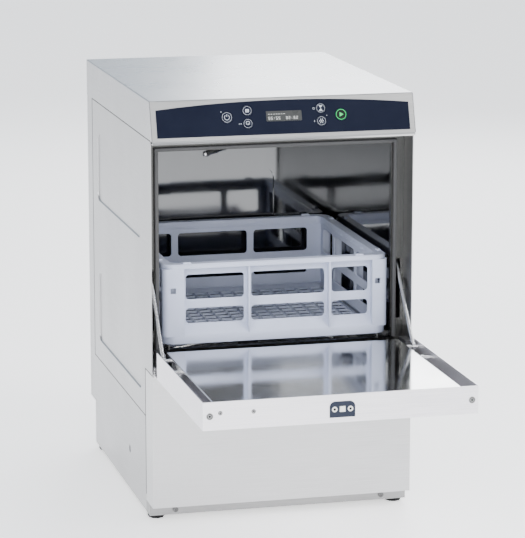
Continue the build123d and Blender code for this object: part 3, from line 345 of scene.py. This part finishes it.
def tube_mesh(points, radius, resolution):
    """A round tube along points in mm."""
    curve = bpy.data.curves.new("tube", "CURVE")
    curve.dimensions = "3D"
    spline = curve.splines.new("POLY")
    spline.points.add(len(points) - 1)
    for point, place in zip(spline.points, points):
        point.co = (place[0] * MM, place[1] * MM, place[2] * MM, 1)
    curve.bevel_depth = radius * MM
    curve.bevel_resolution = resolution
    curve.use_fill_caps = True
    return mesh_from_curve(curve)


def lathe_mesh(profile, steps):
    """A turned piece round Z from (radius, height) points in mm; a radius of 0 closes it."""
    builder = bmesh.new()
    rings = []
    for radius, height in profile:
        if radius == 0:
            rings.append([builder.verts.new((0, 0, height * MM))])
        else:
            rings.append([builder.verts.new((x * MM, y * MM, height * MM))
                          for x, y in circle(radius, steps)])
    for lower, upper in zip(rings[:-1], rings[1:]):
        for step in range(steps):
            following = (step + 1) % steps
            corners = [lower[step % len(lower)], lower[following % len(lower)],
                       upper[following % len(upper)], upper[step % len(upper)]]
            corners = list(dict.fromkeys(corners))
            if len(corners) > 2:
                builder.faces.new(corners)
    return mesh_from(builder, "lathe")


def prism_mesh(outline, length):
    """A prism along X, centred, from an outline of (y, z) points in mm."""
    builder = bmesh.new()
    ends = [[builder.verts.new((side * length / 2 * MM, y * MM, z * MM)) for y, z in outline]
            for side in (-1, 1)]
    builder.faces.new(ends[0][::-1])
    builder.faces.new(ends[1])
    for index in range(len(outline)):
        after = (index + 1) % len(outline)
        builder.faces.new((ends[0][index], ends[0][after], ends[1][after], ends[1][index]))
    return mesh_from(builder, "prism")


def block_mesh(size, bevel, segments=2):
    """A bevelled block, sizes in mm, centred on the origin."""
    builder = bmesh.new()
    bmesh.ops.create_cube(builder, size=1.0)
    bmesh.ops.scale(builder, vec=[side * MM for side in size], verts=builder.verts)
    bmesh.ops.bevel(builder, geom=builder.edges[:], offset=bevel * MM, segments=segments,
                    affect="EDGES", profile=0.5)
    return mesh_from(builder, "block")


def joined(name, parts, material, body, smooth=35.0):
    """Join (mesh, matrix) pairs into one piece that rides on a body, shaded by angle."""
    builder = bmesh.new()
    for part, matrix in parts:
        copy = part.copy()
        copy.transform(matrix)
        builder.from_mesh(copy)
        bpy.data.meshes.remove(copy)
    mesh = mesh_from(builder, name)
    mesh.materials.append(material)
    piece = bpy.data.objects.new(name, mesh)
    bpy.context.scene.collection.objects.link(piece)
    mesh.shade_smooth()
    mesh.set_sharp_from_angle(angle=math.radians(smooth))
    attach(piece, body)
    return piece


def at(x, y, z, *turns):
    """A matrix that moves to a place in mm after turning by (degrees, axis) pairs."""
    matrix = Matrix.Translation((x * MM, y * MM, z * MM))
    for angle, axis in turns:
        matrix = matrix @ Matrix.Rotation(math.radians(angle), 4, axis)
    return matrix


# ------------------------------------------------------------------ control panel
LEAN_RUN = 21.0
LEAN_RISE = 66.0
LEAN = math.hypot(LEAN_RUN, LEAN_RISE)
LEAN_SIN = LEAN_RUN / LEAN
LEAN_COS = LEAN_RISE / LEAN
PANEL_DEPTH = -2.5          # the panel's centre, behind the body's front plane
PANEL_HEIGHT = 700.0
PANEL = Matrix(((1, 0, 0, 0),
                (0, LEAN_SIN, -LEAN_COS, deep(PANEL_DEPTH) * MM),
                (0, LEAN_COS, LEAN_SIN, PANEL_HEIGHT * MM),
                (0, 0, 0, 1)))
OVERLAY_FACE = 1.2          # faces of the pieces over the panel
BUTTON_FACE = 2.0
SCREEN_FACE = 1.0
PRINT = 0.12                # thickness of a printed mark
LEFT_U, RIGHT_U = -63.5, 64.5       # the two columns of small buttons
UPPER_V, LOWER_V = 12.6, -9.4
START_UV = (99.5, 0.6)
DISPLAY_V = 1.8


def printed(name, shapes, u, v, face, material, body):
    """Printed marks on the leaning panel: a list of outline groups, in mm round (u, v)."""
    parts = [(plate_mesh(shape, PRINT), PANEL @ at(u, v, face + PRINT / 2)) for shape in shapes]
    return joined(name, parts, material, body)


def ring(radius, line, centre=(0, 0)):
    """A circle outline of a given line width."""
    return [circle(radius, 40, centre), circle(radius - line, 40, centre)]


def arc_band(radius, line, start, end):
    """Part of a ring between two angles in degrees."""
    steps = 24
    outer = []
    inner = []
    for step in range(steps + 1):
        angle = math.radians(start + (end - start) * step / steps)
        outer.append((radius * math.cos(angle), radius * math.sin(angle)))
        inner.append(((radius - line) * math.cos(angle), (radius - line) * math.sin(angle)))
    return [outer + inner[::-1]]


def bar(x0, y0, x1, y1, line):
    """A straight stroke between two points."""
    length = math.hypot(x1 - x0, y1 - y0)
    nx, ny = -(y1 - y0) / length * line / 2, (x1 - x0) / length * line / 2
    return [[(x0 + nx, y0 + ny), (x0 - nx, y0 - ny), (x1 - nx, y1 - ny), (x1 + nx, y1 + ny)]]


def drop(x, y, size):
    """A water drop standing on its round end."""
    points = [(x, y + 1.7 * size)]
    for step in range(13):
        angle = math.radians(150 + 240 * step / 12)
        points.append((x + size * math.cos(angle), y + size * math.sin(angle)))
    return [points]


SNOW_HUB, SNOW_FORK, SNOW_TIP, SNOW_TWIG = 0.5, 2.6, 4.3, 1.5
snow = []
for spoke in range(6):
    angle = math.pi / 3 * spoke
    across, up = math.cos(angle), math.sin(angle)
    snow.append(bar(SNOW_HUB * across, SNOW_HUB * up, SNOW_TIP * across, SNOW_TIP * up, 0.6))
    for turn in (-0.6, 0.6):
        snow.append(bar(SNOW_FORK * across, SNOW_FORK * up,
                        SNOW_FORK * across + SNOW_TWIG * math.cos(angle + turn),
                        SNOW_FORK * up + SNOW_TWIG * math.sin(angle + turn), 0.45))
small_ring = ring(7.3, 0.4)
page = [rounded_rectangle(6.4, 5.4, 0.8)]
for line_v in (0.9, -0.9):
    page.append(rounded_rectangle(4.6, 0.7, 0.2, 3, (0, line_v)))
icons = {
    "power": (-99.0, 2.4, [ring(8.4, 0.45), arc_band(4.7, 0.8, 125, 415),
                           bar(0, 1.0, 0, 5.3, 0.8)], print_white),
    "program": (LEFT_U, UPPER_V, [small_ring, page], print_white),
    "temperature": (LEFT_U, LOWER_V, [small_ring, arc_band(3.9, 0.7, 20, 160), drop(0, -1.4, 1.0),
                                      drop(-2.6, -0.6, 0.8), drop(2.6, -0.6, 0.8),
                                      bar(-2.4, 3.6, 2.4, 3.6, 0.7)], print_white),
    "cold_rinse": (RIGHT_U, UPPER_V, [small_ring, [[(-2.7, 4.0), (0, 0.2), (2.7, 4.0)]],
                                      [[(-2.7, -4.0), (2.7, -4.0), (0, -0.2)]],
                                      bar(-3.3, 4.4, 3.3, 4.4, 0.6),
                                      bar(-3.3, -4.4, 3.3, -4.4, 0.6)], print_white),
    "drain": (RIGHT_U, LOWER_V, [small_ring] + snow, print_white),
    "start": (*START_UV, [ring(9.0, 0.85), [[(-2.6, -4.0), (4.4, 0), (-2.6, 4.0)]]], lamp_green),
}
for name, (u, v, shapes, ink) in icons.items():
    printed(name + "_symbol", shapes, u, v, BUTTON_FACE, ink, name + "_button_body")
ground = [(plate_mesh([circle(7.9, 48)], PRINT / 2),
           PANEL @ at(*START_UV, BUTTON_FACE + PRINT / 4))]
joined("start_ground", ground, recess_shade_and_print_black, "start_button_body")
# Small marks beside the buttons: dots, a bar, a ring and a plus.
marks = [[circle(0.9, 16, (-108.5, 12.0))], bar(-76.5, LOWER_V, -74.0, LOWER_V, 0.9),
         [circle(0.8, 16, (-78.4, LOWER_V))], ring(1.9, 0.6, (52.5, 12.4)),
         bar(52.4, LOWER_V - 1.8, 52.4, LOWER_V + 1.8, 0.8),
         bar(51.4, LOWER_V, 53.4, LOWER_V, 0.5),
         [circle(0.7, 16, (74.5, 0.0))]]
printed("panel_marks", marks, 0, 0, OVERLAY_FACE, print_grey, MACHINE)

# Each sign is three columns by five rows of pixels, row by row from the top.
SIGNS = {"5": "111100111001111", "2": "111001111100111", "8": "111101111101111",
         "-": "000000111000000", ":": "000010000010000", " ": "000000000000000"}
PIXEL = 0.78
PIXEL_PITCH = PIXEL * 1.35
SIGN_PITCH = 4.4
TEXT_LEFT = -27.0
pixels = []
for top, text in ((5.6, "------- "), (-1.4, "55:55  82:82")):
    for index, sign in enumerate(text):
        for cell, lit in enumerate(SIGNS[sign]):
            if lit == "1":
                row, column = divmod(cell, 3)
                centre = (TEXT_LEFT + index * SIGN_PITCH + column * PIXEL_PITCH,
                          top - row * PIXEL_PITCH)
                pixels.append([rounded_rectangle(PIXEL, PIXEL, 0.1, 1, centre)])
printed("display_digits", pixels, 0, DISPLAY_V, SCREEN_FACE, screen_pixel, MACHINE)

# ------------------------------------------------------------------ rack
RACK_BOX = box_mm("rack")
RACK_FLOOR = RACK_BOX[0][2]
RACK_CENTRE = (RACK_BOX[0][1] + RACK_BOX[1][1]) / 2
RACK_HALF = 200.0
RACK_HEIGHT = 140.0
RIM = 9.0
SKIRT = 14.5
LEDGE = 32.0
RECESS = 13.0
WALL = 3.0
BAYS = (-164.0, -48.0, 96.0, 174.0)
WINDOW_ROWS = ((33.5, 59.5), (75.5, 118.5))
WINDOW_MARGIN = 6.5
CORNER = 9.0
HOLE = 9.4                  # square holes in the corner panels
HOLE_X = 182.0
HOLE_HEIGHT = 94
LUG = (15, 7, 5.0)          # stacking lugs on the rim
LUG_PLACES = (-157.0, 150.0)
CLIPS = 9                   # rounded clips along the inside of each side
CLIP_PITCH = 32
WALL_INSIDE = RACK_HALF - RECESS - WALL
WALL_RISE = RACK_HEIGHT - RIM - SKIRT
WALL_MIDDLE = (RACK_HEIGHT - RIM + SKIRT) / 2
rack_parts = []


def plan_ring(outer, inner, outer_radius, inner_radius, low, high, bevel):
    """A flat ring seen from above, between two heights over the rack's underside."""
    mesh = plate_mesh([rounded_rectangle(2 * outer, 2 * outer, outer_radius, 8),
                       rounded_rectangle(2 * inner, 2 * inner, inner_radius, 8)],
                      high - low, bevel)
    rack_parts.append((mesh, at(0, RACK_CENTRE, RACK_FLOOR + (low + high) / 2)))


plan_ring(RACK_HALF, RACK_HALF - WALL, 24, 21, 0, SKIRT, 1.0)
plan_ring(RACK_HALF - 1, WALL_INSIDE, 24, 12, SKIRT - 2.5, SKIRT, 0.8)
plan_ring(RACK_HALF, WALL_INSIDE - 1.5, 22, 12, RACK_HEIGHT - 3.2, RACK_HEIGHT, 1.2)
plan_ring(RACK_HALF, RACK_HALF - WALL, 22, 19, RACK_HEIGHT - RIM, RACK_HEIGHT - 1, 0.8)
plan_ring(WALL_INSIDE + 2, WALL_INSIDE - 1.2, 12, 10, RACK_HEIGHT - 14, RACK_HEIGHT - 2, 0.8)
UPRIGHT = Matrix.Rotation(math.radians(90), 4, "X")
window_shapes = [rounded_rectangle(2 * (RACK_HALF - RECESS - 2), WALL_RISE, 2, 3,
                                   (0, WALL_MIDDLE))]
for left, right in zip(BAYS[:-1], BAYS[1:]):
    for low, high in WINDOW_ROWS:
        window_shapes.append(rounded_rectangle(right - left - 2 * WINDOW_MARGIN, high - low, 6, 6,
                                               ((left + right) / 2, (low + high) / 2)))
wall_mesh = plate_mesh(window_shapes, WALL, 0.9)
for side in range(4):
    face = at(0, RACK_CENTRE, RACK_FLOOR, (90 * side, "Z")) @ at(0, -RACK_HALF, 0)
    rack_parts.append((wall_mesh, face @ at(0, RECESS + WALL / 2, 0) @ UPRIGHT))
    for left, right in zip(BAYS[:-1], BAYS[1:]):
        slope = prism_mesh([(0.4, SKIRT - 0.6), (RECESS + 0.5, SKIRT - 0.6), (RECESS + 0.5, LEDGE),
                            (0.4, SKIRT + 0.6)], right - left)
        rack_parts.append((slope, face @ at((left + right) / 2, 0, 0)))
    for wall in BAYS:
        rib = block_mesh((WALL, RECESS + 0.5, WALL_RISE + 2), 0.7)
        rack_parts.append((rib, face @ at(wall, RECESS / 2 + 0.4, WALL_MIDDLE)))
    for left, right, hole_x in ((-RACK_HALF + CORNER, BAYS[0] + WALL / 2, -HOLE_X),
                                (BAYS[-1] - WALL / 2, RACK_HALF - CORNER, HOLE_X)):
        panel = [rounded_rectangle(right - left, WALL_RISE + 2, 0.3, 1,
                                   ((left + right) / 2, WALL_MIDDLE)),
                 rounded_rectangle(HOLE, HOLE, 0.8, 2, (hole_x, HOLE_HEIGHT))]
        rack_parts.append((plate_mesh(panel, WALL, 0.2), face @ at(0, WALL / 2, 0) @ UPRIGHT))
    corner = []
    for radius, order in ((CORNER, 1), (CORNER - WALL, -1)):
        arc = [(-RACK_HALF + CORNER + radius * math.cos(math.radians(angle)),
                CORNER + radius * math.sin(math.radians(angle)))
               for angle in range(180, 271, 10)]
        corner += arc[::order]
    rack_parts.append((plate_mesh([corner], WALL_RISE + 2), face @ at(0, 0, WALL_MIDDLE)))
    for x in LUG_PLACES:
        rack_parts.append((block_mesh(LUG, 1.6, 3), face @ at(x, 5.5, RACK_HEIGHT + 0.2)))
    for index in range(CLIPS):
        clip = plate_mesh([rounded_rectangle(15, 5, 2.4, 5), rounded_rectangle(12.6, 2.8, 1.3, 5)],
                          0.8, 0.2)
        along = (index - (CLIPS - 1) / 2) * CLIP_PITCH
        rack_parts.append((clip, face @ at(along, RECESS + WALL + 1.7, RACK_HEIGHT - 8) @ UPRIGHT))
FLOOR_HALF = RACK_HALF - RECESS
FLOOR_THICKNESS = 4.0
BAR = 4
CELLS = 15
pitch = 2 * (FLOOR_HALF - WALL) / CELLS
floor_shapes = [rounded_rectangle(2 * FLOOR_HALF, 2 * FLOOR_HALF, 8, 4)]
for row in range(CELLS):
    for column in range(CELLS):
        if (row + column) % 8 == 0 and row % 4 == 0:        # a few cells stay closed
            continue
        floor_shapes.append(rounded_rectangle(
            pitch - BAR, pitch - BAR, 3, 3,
            ((column - (CELLS - 1) / 2) * pitch, (row - (CELLS - 1) / 2) * pitch)))
rack_parts.append((plate_mesh(floor_shapes, FLOOR_THICKNESS, 0.6),
                   at(0, RACK_CENTRE, RACK_FLOOR + FLOOR_THICKNESS / 2)))
rack_piece = joined("rack_basket", rack_parts, rack_plastic, RACK)
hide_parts("rack")

# ------------------------------------------------------------------ stay springs
# The stay's line as the CAD has it with the door open, in mm.
STAY_X = 219.5
PIN_DEPTH = -45.0
PIN_HEIGHT = 300.0
ANCHOR_DEPTH = 174.4
ANCHOR_HEIGHT = 566.2
ROD_LENGTH = 170.0
COIL_RADIUS = 4.75
WIRE = 0.75
reach = math.hypot(ANCHOR_DEPTH - PIN_DEPTH, ANCHOR_HEIGHT - PIN_HEIGHT)
stay_tilt = math.degrees(math.atan2(ANCHOR_HEIGHT - PIN_HEIGHT, ANCHOR_DEPTH - PIN_DEPTH))


def spring_points(start, end):
    """A close coil between two distances along Y, with a hook at its far end."""
    turns = 58
    steps = 14
    hook = 4.4
    points = [(0, start, 0), (0, start + 2, COIL_RADIUS * 0.6)]
    for step in range(turns * steps + 1):
        angle = 2 * math.pi * step / steps
        along = start + 3 + (end - start - 8) * step / (turns * steps)
        points.append((COIL_RADIUS * math.sin(angle), along, COIL_RADIUS * math.cos(angle)))
    for step in range(11):
        angle = math.radians(-90 + 30 * step)
        points.append((0, end + 1.2 + hook * math.sin(angle), hook * math.cos(angle)))
    return points


coils = []
for side in (-1, 1):
    place = at(side * STAY_X, deep(PIN_DEPTH), PIN_HEIGHT, (stay_tilt, "X"))
    coils.append((tube_mesh(spring_points(ROD_LENGTH + 1, reach - 3.4), WIRE, 2), place))
springs = joined("tension_springs", coils, spring_steel, MACHINE, 60)
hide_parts("stay_springs")

# ------------------------------------------------------------------ spray arms
ARM_BOX = box_mm("lower_wash_arm")
ARM_Y = (ARM_BOX[0][1] + ARM_BOX[1][1]) / 2
ARM_LENGTH = 184
BLADE_START = 12
BLADE_LENGTH = ARM_LENGTH - BLADE_START
ARM_BORE = 8.05
BLADE_TAPER = 0.32
BLADE_ROUNDING = 0.36
JETS = 5                    # on each blade
JET = [(0, 0), (1.3, 0), (1.5, 0.9), (2.6, 1.0), (3.4, 0.4), (4.2, -0.6), (0, -0.6)]


def spray_arm(arm_name, ring_radius, width, height, turn, jet_side):
    """A pressed spray arm: rounded blades, a collar with a bore, and raised jets."""
    node = arm_name + "_arm"
    name = arm_name + "_blades"
    body = arm_name + "_spinner"
    low, high = [corner[2] for corner in box_mm(node)]
    depth = high - low
    parts = []
    place = at(0, ARM_Y, (low + high) / 2, (turn, "Z"))
    for side in (-1, 1):
        blade = block_mesh((BLADE_LENGTH, width, height), min(height, width) * BLADE_ROUNDING, 4)
        for vertex in blade.vertices:
            share = 0.5 + side * vertex.co.x / (BLADE_LENGTH * MM)
            vertex.co.y *= 1.0 - BLADE_TAPER * share ** 2
        parts.append((blade, place @ at(side * (BLADE_START + BLADE_LENGTH / 2), 0, 0)))
    collar = [(ARM_BORE, -depth / 2 + 0.6), (ARM_BORE + 1, -depth / 2),
              (ring_radius - 2, -depth / 2), (ring_radius, -depth / 2 + 2),
              (ring_radius, depth / 2 - 2), (ring_radius - 2, depth / 2),
              (ARM_BORE + 1, depth / 2), (ARM_BORE, depth / 2 - 0.6),
              (ARM_BORE, -depth / 2 + 0.6)]
    parts.append((lathe_mesh(collar, 48), place))
    arm = joined(name, parts, part_steel, body, 40)
    jet_parts = []
    for side in (-1, 1):
        for index in range(JETS):
            x = ring_radius + 14 + index * (ARM_LENGTH - ring_radius - 26) / (JETS - 1)
            flip = (0, "X") if jet_side > 0 else (180, "X")
            jet_parts.append((lathe_mesh(JET, 20),
                              place @ at(side * x, 0, jet_side * (height / 2 - 0.2), flip)))
    joined(name + "_jets", jet_parts, nozzle_steel, body, 40)
    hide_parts(node)


WASH_SHAPE = (24, 26, 12)           # collar radius, blade width and thickness
RINSE_SHAPE = (17, 11, 9)
spray_arm("lower_wash", *WASH_SHAPE, 28, 1)
spray_arm("lower_rinse", *RINSE_SHAPE, -48, 1)
spray_arm("upper_wash", *WASH_SHAPE, -24, -1)
spray_arm("upper_rinse", *RINSE_SHAPE, 52, -1)

# ------------------------------------------------------------------ small fittings
LATCH_FACE = box_mm("door_latch_plate")[0][1]
EDGE_FACE, DOOR_UNDERSIDE = box_mm("door_outer_shell")[0][1:]
LATCH_UP = 22.0
LATCH_RING_X = 13
# Each screw's place across the door and its height over the door's skin.
RING_SCREWS = ((-216.0, 23.0), (216.0, 23.0))
CROSS_SCREWS = ((-199.0, 27.5), (-145.0, 27.0))
# Turned profiles of the heads and rings, as (radius, height) in mm.
washer_head = [(0, 0), (5.6, 0), (5.6, 0.7), (5.2, 1.1), (4.5, 1.15), (4.2, 0.6), (3.5, 0.6),
               (3.2, 1.0), (1.9, 1.15), (1.6, 0.5), (0, 0.45)]
pan_head = [(0, 0), (3.4, 0), (3.4, 0.4), (2.9, 0.9), (1.8, 1.1), (0, 1.15)]
groove = [(3.45, 0.4), (4.25, 0.4), (4.25, 0.68), (3.45, 0.68), (3.45, 0.4)]
socket = [(0, 0.3), (1.75, 0.3), (1.75, 0.56), (0, 0.56)]
cross = [[(-2.1, -0.45), (-0.45, -0.45), (-0.45, -2.1), (0.45, -2.1), (0.45, -0.45), (2.1, -0.45),
          (2.1, 0.45), (0.45, 0.45), (0.45, 2.1), (-0.45, 2.1), (-0.45, 0.45), (-2.1, 0.45)]]
heads = []
# Black pieces in the screw grooves, sockets, cross slots and latch ring centres are painted shade
# for these recesses.
recess_shades = []
for x, up in RING_SCREWS:
    place = at(x, EDGE_FACE, DOOR_UNDERSIDE + up, (90, "X"))
    heads.append((lathe_mesh(washer_head, 40), place))
    recess_shades += [(lathe_mesh(groove, 40), place), (lathe_mesh(socket, 24), place)]
for x, up in CROSS_SCREWS:
    place = at(x, EDGE_FACE, DOOR_UNDERSIDE + up, (90, "X"))
    heads.append((lathe_mesh(pan_head, 32), place))
    recess_shades.append((plate_mesh(cross, 0.1), place @ at(0, 0, 1.12, (20, "Z"))))
    recess_shades.append((lathe_mesh([(2.7, 0.9), (3.2, 0.55), (3.42, 0.2), (3.42, 0.62), (2.9, 1.0),
                                (2.7, 0.9)], 32), place))
latch_ring = [(2.2, 0.0), (4.4, 0.0), (4.4, 0.5), (3.9, 0.9), (2.6, 0.9), (2.2, 0.5), (2.2, 0.0)]
rings = []
for side in (-1, 1):
    place = at(side * LATCH_RING_X, LATCH_FACE, DOOR_UNDERSIDE + LATCH_UP, (90, "X"))
    rings.append((lathe_mesh(latch_ring, 36), place))
    recess_shades.append((lathe_mesh([(0, 0), (2.3, 0), (2.3, 0.3), (1.2, 0.4), (0, 0.4)], 24), place))
screw_heads = joined("door_screw_heads", heads, screw_steel, DOOR)
# Painted shade in the screw and latch recesses.
joined("door_screw_recess_shades", recess_shades, recess_shade_and_print_black, DOOR)
joined("latch_rings", rings, white_plastic, DOOR)
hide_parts("door_screws")

INLET = (-195.0, deep(532), 58.0)
THREAD_PITCH = 1.8
ridge = [(12.0, 0.0), (13.2, 0.55), (13.2, 0.85), (12.0, 1.4), (12.0, 0.0)]
ridges = []
for index in range(9):
    along = INLET[1] + 1.2 + index * THREAD_PITCH
    ridges.append((lathe_mesh(ridge, 40), at(INLET[0], along, INLET[2], (-90, "X"))))
joined("inlet_thread_ridges", ridges, brass, MACHINE)

# ------------------------------------------------------------------ painted shadows in the seams of the casing
SIDE_PANEL = box_mm("side_panel_left")
LOWER_SIDE = box_mm("lower_side_panel_left")
TOP_COVER = box_mm("top_cover")
FRONT_PANEL = box_mm("lower_front_panel")
SEAM = 2.0                  # width of a joint's painted shadow line
CORNER_SEAM = 4.5           # where two sheets turn inwards side by side
SEAM_DEPTH = 0.12
SEAM_PROUD = 0.04
FLANGE_RISE = 32            # height over the lower side at which its front seam's painted shadow starts


def seam_shadow_strip(x, start, end):
    """A thin dark strip of painted shadow on the body's side between two (y, z) corners, in mm."""
    width = max(end[0] - start[0], SEAM)
    height = max(end[1] - start[1], SEAM)
    strip = block_mesh((SEAM_DEPTH, width, height), 0.03, 1)
    return strip, at(x, (start[0] + end[0]) / 2, (start[1] + end[1]) / 2)


FRONT_EDGE = FRONT_PANEL[1][1]
REAR_EDGE = SIDE_PANEL[1][1]
strips = []
for start, end, height in ((SIDE_PANEL[0][1], REAR_EDGE, SIDE_PANEL[1][2]),
                           (FRONT_EDGE, REAR_EDGE, LOWER_SIDE[1][2]),
                           (FRONT_PANEL[0][1], FRONT_EDGE, FRONT_PANEL[1][2])):
    strips.append(((start, height - SEAM / 2), (end, height + SEAM / 2)))
strips.append(((FRONT_EDGE - CORNER_SEAM / 2, LOWER_SIDE[0][2] + FLANGE_RISE),
               (FRONT_EDGE + CORNER_SEAM / 2, FRONT_PANEL[1][2])))
strips.append(((REAR_EDGE - CORNER_SEAM, LOWER_SIDE[1][2]), (REAR_EDGE, SIDE_PANEL[1][2])))
seam_shadow_pieces = []
for side in (-1, 1):
    face = side * (TOP_COVER[1][0] - SEAM_DEPTH / 2 + SEAM_PROUD)
    seam_shadow_pieces += [seam_shadow_strip(face, start, end) for start, end in strips]
# Dark strips along the casing's joints are painted shadow for the gaps between its sheets.
joined("painted_seam_shadows", seam_shadow_pieces, seam_shadow_paint, MACHINE)

# ------------------------------------------------------------------ stage and light
FLOOR_DROP = -0.0004        # just under the feet, m
floor_builder = bmesh.new()
bmesh.ops.create_circle(floor_builder, cap_ends=True, segments=96, radius=24.0)
floor_mesh = bpy.data.meshes.new("floor")
floor_builder.to_mesh(floor_mesh)
floor_builder.free()
floor_shader = Shader("floor_paper", (0.86, 0.86, 0.865), 0.55)
floor_shader.shader.inputs["Emission Color"].default_value = (1.0, 1.0, 1.0, 1)
floor_shader.shader.inputs["Emission Strength"].default_value = 1.1
floor_shader.tint(floor_shader.noise(1.2, 3.0), 0.3, 0.7, 0.015)
floor_mesh.materials.append(floor_shader.material)
floor = bpy.data.objects.new("floor", floor_mesh)
bpy.context.scene.collection.objects.link(floor)
floor.location = (0, 0, FLOOR_DROP)

GROUND_LIGHT = (0.90, 0.90, 0.91, 1)
ZENITH_LIGHT = (0.42, 0.45, 0.50, 1)
REAR_TINT = (0.80, 0.90, 1.0, 1)
world = bpy.data.worlds.new("studio")
bpy.context.scene.world = world
world.use_nodes = True
nodes = world.node_tree.nodes
link = world.node_tree.links.new
background = nodes["Background"]
coordinates = nodes.new("ShaderNodeTexCoord")
split = nodes.new("ShaderNodeSeparateXYZ")
link(coordinates.outputs["Generated"], split.inputs["Vector"])
ramp = nodes.new("ShaderNodeValToRGB")
link(split.outputs["Z"], ramp.inputs["Fac"])
ramp.color_ramp.elements[0].position = 0.0
ramp.color_ramp.elements[0].color = GROUND_LIGHT
ramp.color_ramp.elements[1].position = 1.0
ramp.color_ramp.elements[1].color = ZENITH_LIGHT
sideways = nodes.new("ShaderNodeMapRange")
for socket, number in (("From Min", -1.0), ("From Max", 1.0), ("To Min", 1.15), ("To Max", 2.0)):
    sideways.inputs[socket].default_value = number
link(split.outputs["X"], sideways.inputs["Value"])
link(sideways.outputs["Result"], background.inputs["Strength"])
behind = nodes.new("ShaderNodeMapRange")
link(split.outputs["Y"], behind.inputs["Value"])
sky = nodes.new("ShaderNodeMix")
sky.data_type = "RGBA"
sky.blend_type = "MULTIPLY"
sky.inputs["B"].default_value = REAR_TINT
link(behind.outputs["Result"], sky.inputs["Factor"])
link(ramp.outputs["Color"], sky.inputs["A"])
link(sky.outputs["Result"], background.inputs["Color"])


def softbox(name, place, aim, size, power, color=(1, 1, 1)):
    """A rectangular area light pointed at a place."""
    light = bpy.data.lights.new(name, "AREA")
    light.shape = "RECTANGLE"
    light.size, light.size_y = size
    light.energy = power
    light.color = color
    holder = bpy.data.objects.new(name, light)
    bpy.context.scene.collection.objects.link(holder)
    holder.location = place
    holder.rotation_euler = (Vector(aim) - Vector(place)).to_track_quat("-Z", "Y").to_euler()


softbox("key", (3.3, -2.3, 3.0), (0, 0, 0.4), (2.0, 2.4), 220, (1.0, 0.985, 0.96))
softbox("fill", (-2.9, -2.0, 1.8), (0, 0, 0.4), (1.6, 2.2), 100, (0.95, 0.97, 1.0))
softbox("low", (-0.7, -3.0, 1.15), (0, 0.1, 0.4), (1.4, 0.8), 46, (0.97, 0.985, 1.0))
softbox("top", (0.2, 0.6, 3.4), (0, 0, 0.5), (2.6, 2.6), 45, (0.97, 0.985, 1.0))
softbox("rear", (1.6, 3.4, 2.2), (0, 0.2, 0.4), (2.0, 2.0), 90)
